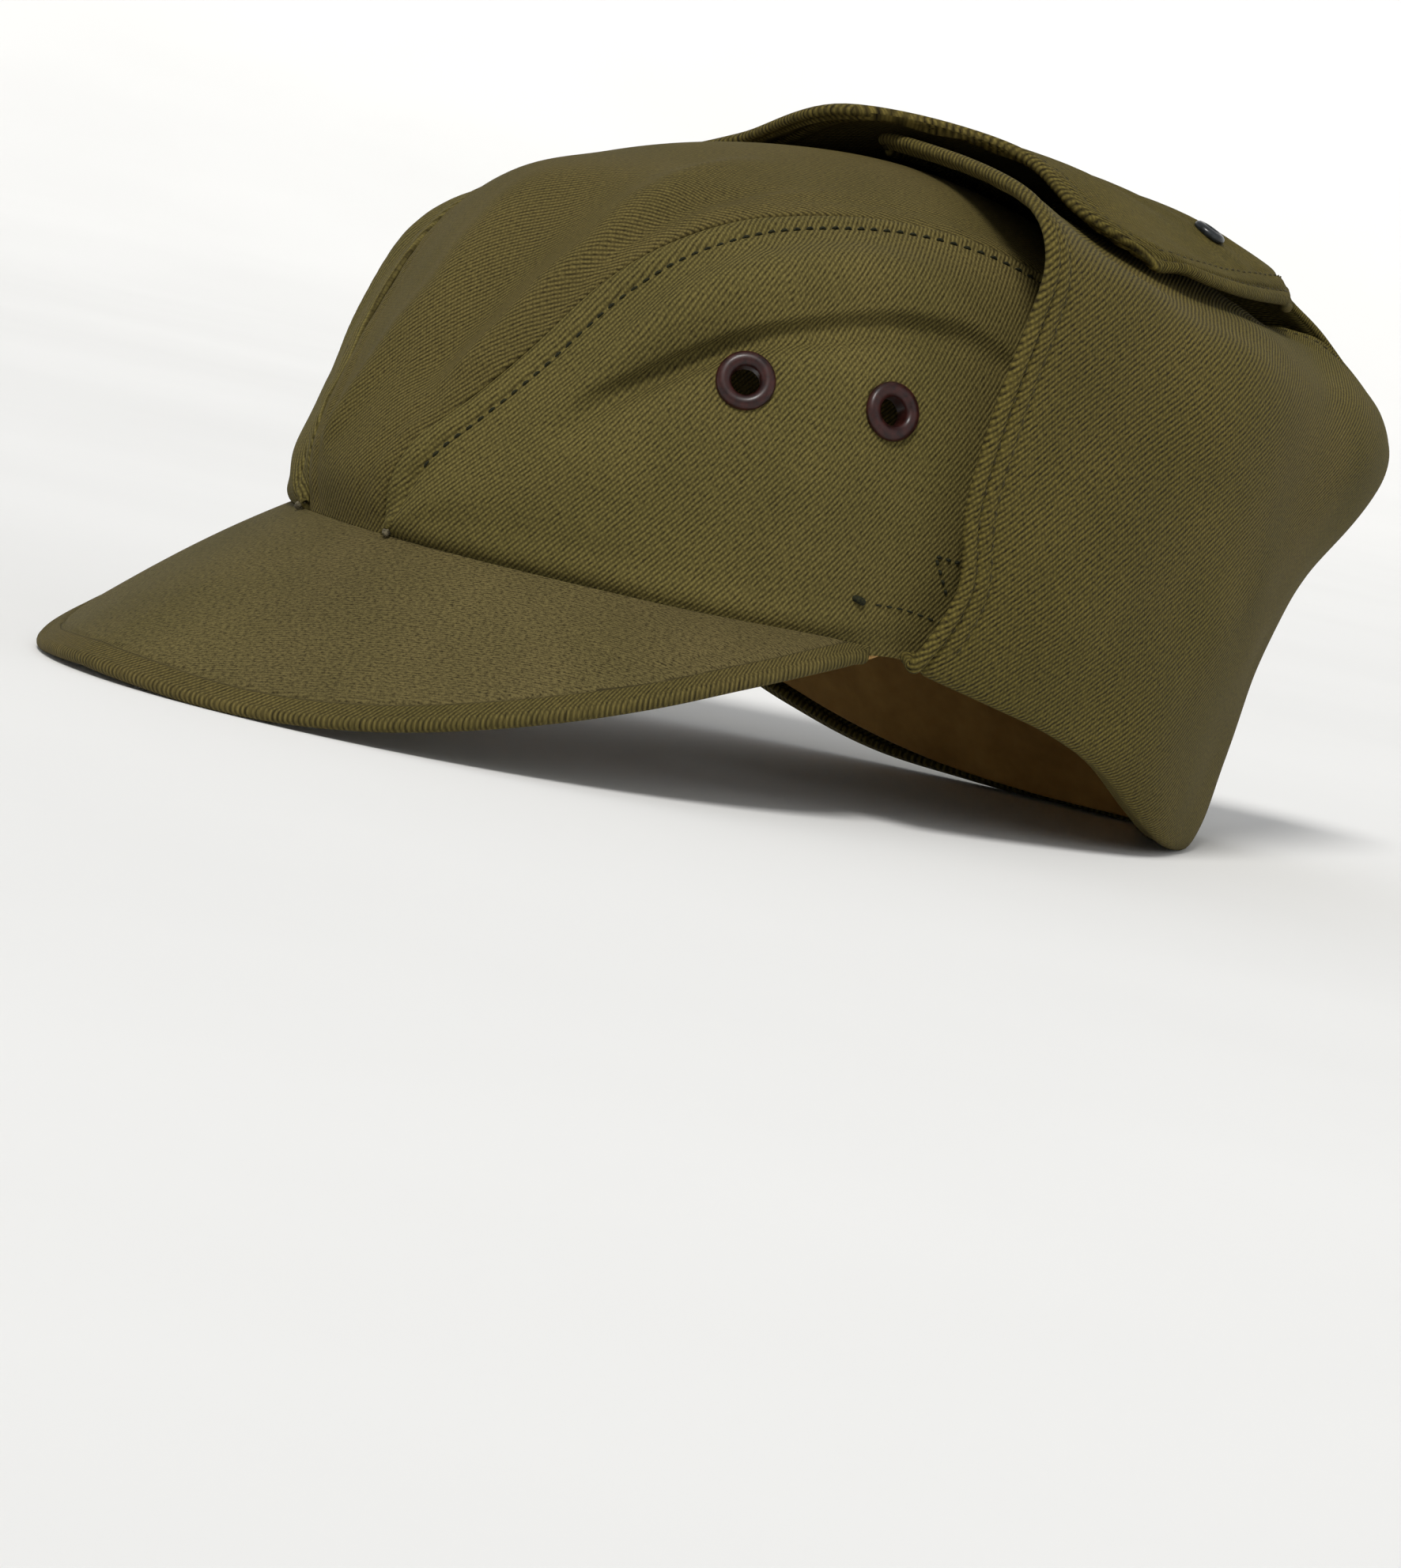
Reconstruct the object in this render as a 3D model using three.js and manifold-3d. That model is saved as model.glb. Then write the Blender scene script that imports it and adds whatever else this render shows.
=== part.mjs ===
// Field cap of a military uniform, resting on its peak and on the fold at its nape.
// Millimetres, +Z up, the cap faces -Y, +X is the wearer's left.
import * as THREE from "three";
import { mergeVertices } from "three/addons/utils/BufferGeometryUtils.js";
import Module from "manifold-3d";

const wasm = await Module();
wasm.setup();

// Driving sizes
const HALF_WIDTH = 79.0;
const FRONT_REACH = 108.0;
const NAPE_REACH = 110.5;
const CLOTH = 1.7;
const PEAK_THICKNESS = 2.8;
const SWEATBAND_THICKNESS = 1.2;
const SWEATBAND_HEIGHT = 26.0;
const GAP = 0.3;
const SEAM_ALLOWANCE = 0.18;
const PEAK_GAP = 0.4;
const PEAK_END = THREE.MathUtils.degToRad(73);
const PEAK_SWELL = 1.2;
const PEAK_EDGE_SHARE = 0.015;
const FLAP_INSET = 2.1;
const SKIRT = 3.5;
const HEM_ROOM = 3.6;
const REST_PITCH = THREE.MathUtils.degToRad(4.0);
const REST_LIFT = 37.45;

// Height of the seam between crown and peak: a low arch over the forehead
const SEAM = { middle: 6.9, fall: 8.06, flatten: 1.74, reach: 1.2 };
// Height of the lower edge from the temple to the nape, at equal angles round the head
const RIM_START = THREE.MathUtils.degToRad(60);
const RIM_HEIGHTS = [1.8, 0.2, -5.6, -12.2, -17.4, -23.5, -30.5, -37.0, -42.0, -45.0, -46.5];

// Crown sections from the forehead over the top to the nape:
// middle of the strip y, z, its seam x, y, z, and the angle of the foot of the side panel
const CROWN = [
  [-107.9, 3.4, 13.7, -106.3, 4.2, 10],
  [-108.0, 7.0, 14.0, -106.4, 7.9, 10.2],
  [-110.2, 17.0, 15.0, -107.4, 17.0, 16],
  [-107.0, 26.5, 17.2, -104.6, 25.5, 22],
  [-101.5, 37.5, 22.5, -98.0, 34.5, 30],
  [-94.5, 51.0, 29.0, -90.0, 46.0, 40],
  [-84.5, 66.0, 34.0, -77.0, 62.0, 51],
  [-68.0, 80.0, 38.0, -60.0, 73.8, 62],
  [-42.0, 86.0, 41.0, -39.5, 79.2, 75],
  [-14.0, 90.5, 45.5, -18.5, 80.4, 88],
  [10.0, 90.0, 55.5, -2.5, 78.4, 98],
  [34.0, 84.0, 61.0, 17.0, 70.5, 108],
  [57.0, 73.0, 58.0, 38.0, 58.0, 118],
  [77.0, 58.0, 52.0, 57.0, 44.0, 128],
  [90.0, 34.0, 44.0, 74.0, 24.0, 139],
  [99.0, 0.0, 35.0, 84.0, -8.0, 151],
  [107.8, -40.5, 27.0, 88.0, -38.2, 163],
];
const ROOF_POWER = 2.2;
const FIRST_SIDE = 1 / 16 + 0.01;
const LAST_SIDE = 0.985;

// Pressed-in fold of each side panel: place along the crown, place down the panel, depth, half width
const FOLD = [
  [0.29, 0.46, 0.0, 0.05],
  [0.35, 0.405, 2.2, 0.05],
  [0.41, 0.37, 3.4, 0.06],
  [0.46, 0.35, 3.4, 0.07],
  [0.51, 0.35, 2.4, 0.07],
  [0.56, 0.42, 0.0, 0.07],
];

// Flap sections from the folded hem up and over the top, as plan curves:
// front edge x, y, z, the middle pull x, y, z, and the centre back x, y, z
const HEM_TO_BACK = [
  [77.0, -24.4, -1.9, 79.0, 58.0, -32.8, 2.0, 111.5, -46.3],
  [82.2, -25.0, -2.0, 84.0, 63.0, -33.0, 1.4, 117.5, -46.5],
  [84.0, -18.0, 13.0, 87.0, 66.0, -14.0, 1.4, 121.5, -30.0],
  [84.0, -19.0, 30.0, 88.0, 72.0, 8.0, 1.4, 127.5, -10.0],
  [84.3, -16.0, 49.0, 82.0, 78.0, 29.0, 1.4, 139.2, 12.0],
  [84.7, -12.0, 65.0, 80.0, 76.0, 47.0, 1.4, 157.5, 34.0],
];
// Rise and fall of the hem from its front end to the centre back, fading over the sections above
const HEM_WAVE = [0.0, 1.2, 2.2, 1.2, -2.8, -5.0, -3.6, -1.2, 0.0];
const HEM_WAVE_REACH = 2.2;
const UNDER_FLAP = [
  ...HEM_TO_BACK,
  [84.0, -9.0, 77.0, 75.0, 72.0, 59.0, 1.4, 154.5, 48.0],
  [79.0, -8.0, 85.5, 68.0, 58.0, 64.5, 1.4, 137.0, 62.0],
  [63.0, -3.0, 90.5, 52.0, 54.0, 68.0, 1.4, 125.0, 65.0],
  [34.0, 4.0, 93.5, 28.0, 60.0, 78.0, 0, 119.0, 65.0],
  [0.0, 10.0, 95.0, -10.0, 66.0, 85.0, -6, 116.0, 65.0],
  [-6.0, 16.0, 93.0, -20.0, 66.0, 84.0, -10, 112.0, 65.0],
];
const OVER_FLAP = [
  ...HEM_TO_BACK,
  [84.0, -9.0, 74.0, 75.0, 73.0, 60.0, 1.4, 154.5, 48.0],
  [79.0, -8.0, 78.5, 68.0, 60.0, 74.0, 1.4, 137.5, 63.5],
  [63.0, -3.0, 82.5, 52.0, 57.0, 85.0, 1.4, 126.0, 71.0],
  [34.0, -3.0, 89.5, 28.0, 60.0, 93.5, 0, 121.0, 73.5],
  [0.0, -2.0, 99.6, -10.0, 66.0, 96.0, -5, 117.5, 75.0],
  [-22.0, 25.0, 96.6, -72.0, 30.0, 71.5, -11, 115.0, 71.3],
];

// Outer edge of the peak: plan of its left half as a cubic, and heights from its end to the middle
const PEAK_PLAN = [[76.0, -33.0], [104.0, -85.0], [54.0, -161.5], [0.0, -161.5]];
const PEAK_HEIGHTS = [-1.0, -3.5, -7.2, -12.0, -16.6, -20.6, -23.6, -25.0, -24.9, -23.8, -23.0];

// Vent eyelets of one side: place along the crown, place down the panel
const EYELETS = { front: [0.419, 0.478], rear: [0.495, 0.564] };
const EYELET = { hole: 2.8, barrel: 3.4, flange: 5.8, crownHeight: 1.5, back: 2.9, clothHole: 3.8 };
// Press stud on the tongue of the flap on top: level up the flap, place along it
const STUD = { level: 0.94, along: 0.72, radius: 3.6, height: 1.6 };

// Grid steps of each cloth
const GRID = {
  seam: 28,
  across: 8,
  down: 13,
  flap: [24, 20],
  peak: [30, 5],
  sweatband: [44, 2],
};

const CLOTH_COLOUR = 0x5a512a;
const materials = {
  crown: () => new THREE.MeshStandardMaterial({ color: CLOTH_COLOUR, roughness: 0.95 }),
  flap: () => new THREE.MeshStandardMaterial({ color: 0x544b26, roughness: 0.95 }),
  peak: () => new THREE.MeshStandardMaterial({ color: 0x4a4226, roughness: 0.9 }),
  band: () => new THREE.MeshStandardMaterial({ color: 0x9a7032, roughness: 0.7 }),
  eyelet: () => new THREE.MeshStandardMaterial({ color: 0x2c1512, roughness: 0.3, metalness: 0.5 }),
  stud: () => new THREE.MeshStandardMaterial({ color: 0x16181c, roughness: 0.35, metalness: 0.6 }),
};

// Small vector helpers
const add = (a, b, k = 1) => a.map((value, i) => value + b[i] * k);
const minus = (a, b) => a.map((value, i) => value - b[i]);
const dot = (a, b) => a.reduce((sum, value, i) => sum + value * b[i], 0);
const unit = (a) => {
  const size = Math.hypot(...a);
  return a.map((value) => value / size);
};
const cross = (a, b) => [
  a[1] * b[2] - a[2] * b[1],
  a[2] * b[0] - a[0] * b[2],
  a[0] * b[1] - a[1] * b[0],
];

function smooth(x) {
  const c = Math.min(Math.max(x, 0), 1);
  return c * c * (3 - 2 * c);
}

// A row read between the rows of a table, on a smooth curve through them all
function through(rows, at) {
  const last = rows.length - 1;
  const place = Math.min(Math.max(at, 0), 1) * last;
  const i = Math.min(Math.floor(place), last - 1);
  const f = place - i;
  const p1 = rows[i];
  const p2 = rows[i + 1];
  const p0 = i > 0 ? rows[i - 1] : p1.map((value, k) => 2 * value - p2[k]);
  const p3 = i + 2 <= last ? rows[i + 2] : p2.map((value, k) => 2 * value - p1[k]);
  return p1.map((value, k) => {
    const slope = (p2[k] - p0[k]) * f;
    const bend = (2 * p0[k] - 5 * value + 4 * p2[k] - p3[k]) * f * f;
    const twist = (3 * value - p0[k] - 3 * p2[k] + p3[k]) * f * f * f;
    return 0.5 * (2 * value + slope + bend + twist);
  });
}

// The same for a table with one column
function readTable(values, at) {
  return through(values.map((value) => [value]), at)[0];
}

function cubic(p, g) {
  const h = 1 - g;
  return p[0].map((value, k) => (
    h * h * h * value + 3 * h * h * g * p[1][k] + 3 * h * g * g * p[2][k] + g * g * g * p[3][k]
  ));
}

function seamHeight(t) {
  const k = (Math.abs(t) / SEAM.reach) ** 2;
  return SEAM.middle - SEAM.fall * k + SEAM.flatten * k * k;
}

// Lower edge in plan: a half ellipse in front, softly pointed behind
function basePlan(t, inset) {
  const s = Math.abs(t);
  const side = HALF_WIDTH - inset;
  if (s <= Math.PI / 2) {
    return [Math.sign(t) * side * Math.sin(s), -(FRONT_REACH - inset) * Math.cos(s)];
  }
  const g = (s - Math.PI / 2) / (Math.PI / 2);
  const nape = NAPE_REACH - inset;
  const [x, y] = cubic([[side, 0], [side, 42], [55, nape - 40.5], [0, nape]], g);
  return [Math.sign(t) * x, y];
}

function rimHeight(t) {
  const s = Math.abs(t);
  if (s < RIM_START) {
    return seamHeight(t);
  }
  return readTable(RIM_HEIGHTS, (s - RIM_START) / (Math.PI - RIM_START));
}

// 0 in front of the flaps, 1 under them
function underFlap(t) {
  return smooth((Math.abs(t) - THREE.MathUtils.degToRad(66)) / THREE.MathUtils.degToRad(14));
}

// The strip over the crown: place from forehead to nape, -1..1 across
function strip(tau, u) {
  const [midY, midZ, seamX, seamY, seamZ] = through(CROWN, tau);
  const k = Math.abs(u) ** ROOF_POWER;
  return [seamX * u, midY + (seamY - midY) * k, midZ + (seamZ - midZ) * k];
}

function plainSide(tau, w) {
  const row = through(CROWN, tau);
  const t = THREE.MathUtils.degToRad(row[5]);
  const seam = row.slice(2, 5);
  const [baseX, baseY] = basePlan(t, FLAP_INSET * underFlap(t));
  const base = [baseX, baseY, rimHeight(t) + HEM_ROOM * underFlap(t)];
  const rise = seam[2] - base[2];
  const fullness = 0.52 + 0.3 * smooth((t - 0.785) / 0.436);
  const low = [baseX * 1.03, baseY * 1.03, base[2] + 0.46 * rise];
  const high = [
    seam[0] + fullness * (baseX - seam[0]),
    seam[1] + fullness * (baseY - seam[1]),
    seam[2] - 0.1 * rise,
  ];
  return cubic([seam, high, low, base], Math.min(w, 1));
}

// The left side panel: place from forehead to nape, 0 at the seam, 1 at the foot, above 1 the skirt
function side(tau, w) {
  const point = plainSide(tau, w);
  if (w > 1) {
    const t = THREE.MathUtils.degToRad(through(CROWN, tau)[5]);
    const depth = (SKIRT + 0.6) - SKIRT * underFlap(t);
    return [point[0], point[1], point[2] - depth];
  }
  const [start, end] = [FOLD[0][0], FOLD[FOLD.length - 1][0]];
  if (tau <= start || tau >= end) {
    return point;
  }
  const [, foldW, depth, width] = through(FOLD, (tau - start) / (end - start));
  const away = (w - foldW) / width;
  const dent = depth * (Math.exp(-away * away) - 0.6 * Math.exp(-((away + 2.0) ** 2)));
  return add(point, normal(plainSide, tau, w, -1), -dent);
}

// Outward normal of a surface; sense is 1 or -1
function normal(surface, u, v, sense) {
  const step = 0.004;
  const du = minus(surface(Math.min(u + step, 1), v), surface(Math.max(u - step, 0), v));
  const v0 = Math.max(v - step, surface === strip ? -1 : 0);
  const v1 = Math.min(v + step, 1);
  const dv = minus(surface(u, v1), surface(u, v0));
  return unit(cross(du, dv).map((value) => value * sense));
}

// Shared mitre of strip and side panel along their seam
function mitre(tau) {
  const above = normal(strip, tau, 1, -1);
  const beside = normal(plainSide, Math.min(Math.max(tau, FIRST_SIDE), LAST_SIDE), 0.03, -1);
  return unit(add(above, beside)).map((value) => (
    value / Math.sqrt((1 + dot(above, beside)) / 2)
  ));
}

function flapPoint(rows, level, s) {
  const r = through(rows, level);
  const point = [0, 1, 2].map((k) => (
    (1 - s) ** 2 * r[k] + 2 * (1 - s) * s * r[k + 3] + s * s * r[k + 6]
  ));
  const aboveHem = level * (rows.length - 1) - 1;
  point[2] += readTable(HEM_WAVE, s) * smooth(1 - aboveHem / HEM_WAVE_REACH);
  return point;
}

// The peak: -1..1 across, 0 at the seam, 1 at the outer edge
function peak(a, b) {
  const [innerX, innerY] = basePlan(a * PEAK_END, -PEAK_GAP);
  const g = 1 - Math.abs(a);
  const [x, y] = cubic(PEAK_PLAN, g);
  const z = readTable(PEAK_HEIGHTS, g);
  const outer = [Math.sign(a) * x, y, z];
  const inner = [innerX, innerY, seamHeight(a * PEAK_END)];
  const point = add(inner, minus(outer, inner), b);
  point[2] += PEAK_SWELL * 4 * b * (1 - b) * Math.min(1, 4 * g);
  return point;
}

// The sweatband: angle round the head, height up the band
function sweatband(t, h) {
  const covered = smooth((Math.abs(t) - 1.36) / 0.2);
  const lean = 0.2 + 0.2 * smooth((Math.abs(t) - 1.7) / 0.7);
  const inset = FLAP_INSET * underFlap(t) + CLOTH + GAP + 0.15 + 0.4 * covered + lean * h;
  const [x, y] = basePlan(t, inset);
  return [x, y, rimHeight(t) - 3.4 + 6.8 * covered + h];
}

// From the cap's own frame to the frame it rests in; cloth below the surface is flattened on it
function rest(point) {
  const [x, y, z] = point;
  const turnedY = y * Math.cos(REST_PITCH) - z * Math.sin(REST_PITCH);
  const turnedZ = y * Math.sin(REST_PITCH) + z * Math.cos(REST_PITCH) + REST_LIFT;
  return [x, turnedY, Math.max(turnedZ, 0)];
}

// Closed solid between an outer and an inner grid of points
function shell(outer, inner, ring) {
  const rows = outer.length;
  const columns = outer[0].length;
  const positions = [];
  const index = [];
  const put = (grid) => grid.map((row) => row.map((point) => {
    positions.push(...rest(point));
    return positions.length / 3 - 1;
  }));
  const front = put(outer);
  const back = put(inner);
  const quad = (a, b, c, d) => index.push(a, b, c, a, c, d);
  const lastRow = ring ? rows : rows - 1;
  for (let i = 0; i < lastRow; i += 1) {
    const n = (i + 1) % rows;
    for (let j = 0; j < columns - 1; j += 1) {
      quad(front[i][j], front[n][j], front[n][j + 1], front[i][j + 1]);
      quad(back[i][j], back[i][j + 1], back[n][j + 1], back[n][j]);
    }
    quad(front[i][0], back[i][0], back[n][0], front[n][0]);
    const e = columns - 1;
    quad(front[i][e], front[n][e], back[n][e], back[i][e]);
  }
  if (!ring) {
    const e = rows - 1;
    for (let j = 0; j < columns - 1; j += 1) {
      quad(front[0][j], front[0][j + 1], back[0][j + 1], back[0][j]);
      quad(front[e][j], back[e][j], back[e][j + 1], front[e][j + 1]);
    }
  }
  const geometry = new THREE.BufferGeometry();
  geometry.setAttribute("position", new THREE.Float32BufferAttribute(positions, 3));
  geometry.setIndex(index);
  return geometry;
}

function signedVolume(geometry) {
  const p = geometry.getAttribute("position");
  const at = (i) => [p.getX(i), p.getY(i), p.getZ(i)];
  let volume = 0;
  for (let i = 0; i < geometry.index.count; i += 3) {
    const [a, b, c] = [0, 1, 2].map((k) => at(geometry.index.getX(i + k)));
    volume += dot(a, cross(b, c)) / 6;
  }
  return volume;
}

function turnedOut(geometry) {
  if (signedVolume(geometry) > 0) {
    return geometry;
  }
  const index = geometry.index.array;
  for (let i = 0; i < index.length; i += 3) {
    [index[i + 1], index[i + 2]] = [index[i + 2], index[i + 1]];
  }
  return geometry;
}

function mirrored(geometry) {
  const copy = geometry.clone();
  copy.scale(-1, 1, 1);
  return turnedOut(copy);
}

const steps = (count, from, to) => (
  Array.from({ length: count + 1 }, (_, i) => from + ((to - from) * i) / count)
);

const cap = new THREE.Group();
cap.name = "field_cap";

// Puts a geometry into the cap as a named piece that sits at its own middle
function place(name, geometry, material) {
  geometry.computeBoundingBox();
  const middle = geometry.boundingBox.getCenter(new THREE.Vector3());
  geometry.translate(-middle.x, -middle.y, -middle.z);
  geometry.deleteAttribute("normal");
  geometry.computeVertexNormals();
  const mesh = new THREE.Mesh(geometry, material);
  mesh.name = name;
  mesh.position.copy(middle);
  cap.add(mesh);
  return mesh;
}

function toSolid(geometry) {
  const bare = geometry.clone();
  bare.deleteAttribute("normal");
  bare.deleteAttribute("uv");
  const merged = mergeVertices(bare, 1e-4);
  return new wasm.Manifold(new wasm.Mesh({
    numProp: 3,
    vertProperties: new Float32Array(merged.getAttribute("position").array),
    triVerts: new Uint32Array(merged.index.array),
  }));
}

function toGeometry(solid) {
  const mesh = solid.getMesh();
  const geometry = new THREE.BufferGeometry();
  geometry.setAttribute("position", new THREE.Float32BufferAttribute(mesh.vertProperties, 3));
  geometry.setIndex(Array.from(mesh.triVerts));
  return geometry;
}

// The strip over the crown
function stripGeometry() {
  const taus = [0, FIRST_SIDE / 2, ...steps(GRID.seam, FIRST_SIDE, LAST_SIDE), 1];
  const across = steps(GRID.across, -1, 1);
  const outer = taus.map((tau) => across.map((u) => {
    const hem = 1 - SEAM_ALLOWANCE / through(CROWN, tau)[2];
    return strip(tau, u * hem);
  }));
  const inner = taus.map((tau, i) => across.map((u, j) => {
    let way = normal(strip, tau, u, -1);
    if (Math.abs(u) > 0.999) {
      const [x, y, z] = mitre(tau);
      way = [Math.sign(u) * x, y, z];
    }
    return add(outer[i][j], way, -CLOTH);
  }));
  return turnedOut(shell(outer, inner, false));
}

// The left side panel, closed, before its vent holes are cut
function sideGeometry() {
  const taus = steps(GRID.seam, FIRST_SIDE, LAST_SIDE);
  const downs = [...steps(GRID.down - 1, 0, 1), 1.05];
  const outer = taus.map((tau) => downs.map((w) => {
    if (w === 0) {
      const away = unit(minus(side(tau, 0.06), side(tau, 0)));
      return add(side(tau, 0), away, SEAM_ALLOWANCE);
    }
    return side(tau, w);
  }));
  const inner = taus.map((tau, i) => downs.map((w, j) => {
    let way = normal(plainSide, tau, Math.min(w, 0.98), -1);
    if (w === 0) {
      way = mitre(tau);
    }
    if (w >= 1) {
      way = unit([way[0], way[1], 0]);
    }
    return add(outer[i][j], way, -CLOTH);
  }));
  return turnedOut(shell(outer, inner, false));
}

// Place and outward direction of an eyelet on the left side, in the resting frame
function eyeletSeat([tau, w]) {
  const foot = rest(side(tau, w));
  const tip = rest(add(side(tau, w), normal(plainSide, tau, w, -1), 1));
  return { foot: new THREE.Vector3(...foot), way: new THREE.Vector3(...minus(tip, foot)).normalize() };
}

const UP = new THREE.Vector3(0, 1, 0);

function cutVents(geometry) {
  let solid = toSolid(geometry);
  for (const seatPlace of Object.values(EYELETS)) {
    const seat = eyeletSeat(seatPlace);
    const drill = new THREE.CylinderGeometry(EYELET.clothHole, EYELET.clothHole, 14, 20);
    drill.applyQuaternion(new THREE.Quaternion().setFromUnitVectors(UP, seat.way));
    drill.translate(seat.foot.x, seat.foot.y, seat.foot.z);
    solid = solid.subtract(toSolid(drill));
  }
  return toGeometry(solid);
}

function flapGeometry(rows) {
  const hem = 1 / (rows.length - 1);
  const levels = [0, ...steps(GRID.flap[0] - 1, hem, 1)];
  const along = steps(GRID.flap[1], 0, 1);
  const surface = (level, s) => flapPoint(rows, level, s);
  const outer = levels.map((level) => along.map((s) => surface(level, s)));
  const inner = levels.map((level, i) => along.map((s, j) => {
    if (level === 0) {
      return add(outer[i][j], [0, 0, 1], CLOTH);
    }
    if (i === 1) {
      const side0 = unit(minus(outer[0][j], outer[1][j]));
      return add(add(outer[i][j], side0, CLOTH), [0, 0, 1], CLOTH);
    }
    return add(outer[i][j], normal(surface, level, s, -1), -CLOTH);
  }));
  return turnedOut(shell(outer, inner, false));
}

function peakGeometry() {
  const across = steps(GRID.peak[0], -1, 1);
  const out = [...steps(GRID.peak[1], 0, 1).slice(0, -1), 1 - PEAK_EDGE_SHARE, 1];
  const outer = across.map((a) => out.map((b) => peak(a, b)));
  const inner = outer.map((row) => row.map((point) => add(point, [0, 0, -1], PEAK_THICKNESS)));
  return turnedOut(shell(outer, inner, false));
}

function sweatbandGeometry() {
  const angles = steps(GRID.sweatband[0], -Math.PI, Math.PI).slice(0, -1);
  const heights = steps(GRID.sweatband[1], 0, SWEATBAND_HEIGHT);
  const outer = angles.map((t) => heights.map((h) => sweatband(t, h)));
  const inner = outer.map((row) => row.map(([x, y, z]) => {
    const way = unit([x, y, 0]);
    return [x - way[0] * SWEATBAND_THICKNESS, y - way[1] * SWEATBAND_THICKNESS, z];
  }));
  return turnedOut(shell(outer, inner, true));
}

// Round piece turned about its own axis from a closed profile of radius and height
function turnedPiece(profile, segments) {
  const points = [...profile, profile[0]].map(([r, h]) => new THREE.Vector2(r, h));
  const geometry = new THREE.LatheGeometry(points, segments);
  geometry.deleteAttribute("normal");
  geometry.deleteAttribute("uv");
  return turnedOut(mergeVertices(geometry, 1e-4));
}

function eyeletGeometry() {
  const e = EYELET;
  return turnedPiece([
    [e.hole, -e.back],
    [e.barrel, -e.back],
    [e.barrel, GAP],
    [e.flange, GAP],
    [e.flange - 0.3, 1.0],
    [(e.flange + e.barrel) / 2, e.crownHeight],
    [e.hole, 0.9],
  ], 16);
}

function seatedAt(mesh, seat) {
  mesh.position.copy(seat.foot);
  mesh.quaternion.setFromUnitVectors(UP, seat.way);
  cap.add(mesh);
}

place("crown_top", stripGeometry(), materials.crown());
const leftSide = cutVents(sideGeometry());
place("side_panel_left", leftSide.clone(), materials.crown());
place("side_panel_right", mirrored(leftSide), materials.crown());
place("peak", peakGeometry(), materials.peak());
place("neck_flap_left", flapGeometry(UNDER_FLAP), materials.flap());
place("neck_flap_right", mirrored(flapGeometry(OVER_FLAP)), materials.flap());
place("sweatband", sweatbandGeometry(), materials.band());

for (const [end, seatPlace] of Object.entries(EYELETS)) {
  for (const [sideName, sign] of [["left", 1], ["right", -1]]) {
    const seat = eyeletSeat(seatPlace);
    seat.foot.x *= sign;
    seat.way.x *= sign;
    const mesh = new THREE.Mesh(eyeletGeometry(), materials.eyelet());
    mesh.name = `eyelet_${sideName}_${end}`;
    seatedAt(mesh, seat);
  }
}

const onTop = (level, s) => flapPoint(OVER_FLAP, level, s);
const studFoot = rest(onTop(STUD.level, STUD.along));
const studUp = normal(onTop, STUD.level, STUD.along, -1);
const studTip = rest(add(onTop(STUD.level, STUD.along), studUp, 1));
const stud = new THREE.Mesh(turnedPiece([
  [0, GAP],
  [STUD.radius, GAP],
  [STUD.radius, STUD.height * 0.7],
  [STUD.radius * 0.6, STUD.height],
  [0, STUD.height * 0.85],
], 20), materials.stud());
stud.name = "flap_stud";
const studWay = new THREE.Vector3(...minus(studTip, studFoot)).normalize();
seatedAt(stud, {
  foot: new THREE.Vector3(-studFoot[0], studFoot[1], studFoot[2]),
  way: new THREE.Vector3(-studWay.x, studWay.y, studWay.z),
});

// Middle of the outline in plan at the origin, lowest point on the floor
const group = new THREE.Group();
group.add(cap);
const box = new THREE.Box3().setFromObject(group, true);
const middle = box.getCenter(new THREE.Vector3());
cap.position.set(-middle.x, -middle.y, -box.min.z);

export default group;
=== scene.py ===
import math
from collections import Counter

import bmesh
import bpy
import numpy as np
from mathutils import Matrix, Vector


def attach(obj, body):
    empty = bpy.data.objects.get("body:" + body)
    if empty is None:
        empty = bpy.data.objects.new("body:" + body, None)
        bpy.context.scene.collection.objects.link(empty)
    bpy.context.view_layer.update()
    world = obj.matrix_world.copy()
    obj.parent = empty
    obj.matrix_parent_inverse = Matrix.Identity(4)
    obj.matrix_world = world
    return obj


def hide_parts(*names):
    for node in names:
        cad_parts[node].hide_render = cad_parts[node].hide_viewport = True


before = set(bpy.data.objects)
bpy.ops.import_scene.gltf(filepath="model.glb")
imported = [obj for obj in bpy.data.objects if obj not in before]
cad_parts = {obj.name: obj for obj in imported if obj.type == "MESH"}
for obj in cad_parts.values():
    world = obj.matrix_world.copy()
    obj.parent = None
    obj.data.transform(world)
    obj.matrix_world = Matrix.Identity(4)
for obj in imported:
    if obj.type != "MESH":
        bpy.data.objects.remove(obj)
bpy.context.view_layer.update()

# Sizes of the cap in millimetres, in its own frame: +Z up, facing -Y, +X the wearer's left
HALF_WIDTH = 79.0
FRONT_REACH = 108.0
NAPE_REACH = 110.5
CLOTH = 1.7
PEAK_THICKNESS = 2.8
BAND_THICKNESS = 1.2
BAND_HEIGHT = 26.0
PEAK_GAP = 0.4
PEAK_END = math.radians(73)
PEAK_SWELL = 1.2
FLAP_INSET = 2.1
SKIRT = 3.5
HEM_ROOM = 3.6
BACK_CLOSING = 0.45
REST_PITCH = math.radians(4.0)
REST_MOVE = np.array([0, 2.0185, 37.45])
SEAM_MIDDLE, SEAM_FALL, SEAM_FLATTEN, SEAM_REACH = 6.9, 8.06, 1.74, 1.2
RIM_START = math.radians(60)
FLAP_START, FLAP_FADE = math.radians(66), math.radians(14)
NAPE_POINT, BACK_PULL, NAPE_PULL = 55.0, 42.0, 40.5
RIM_HEIGHTS = [1.8, 0.2, -5.6, -12.2, -17.4, -23.5, -30.5, -37.0, -42.0, -45.0, -46.5]

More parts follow.
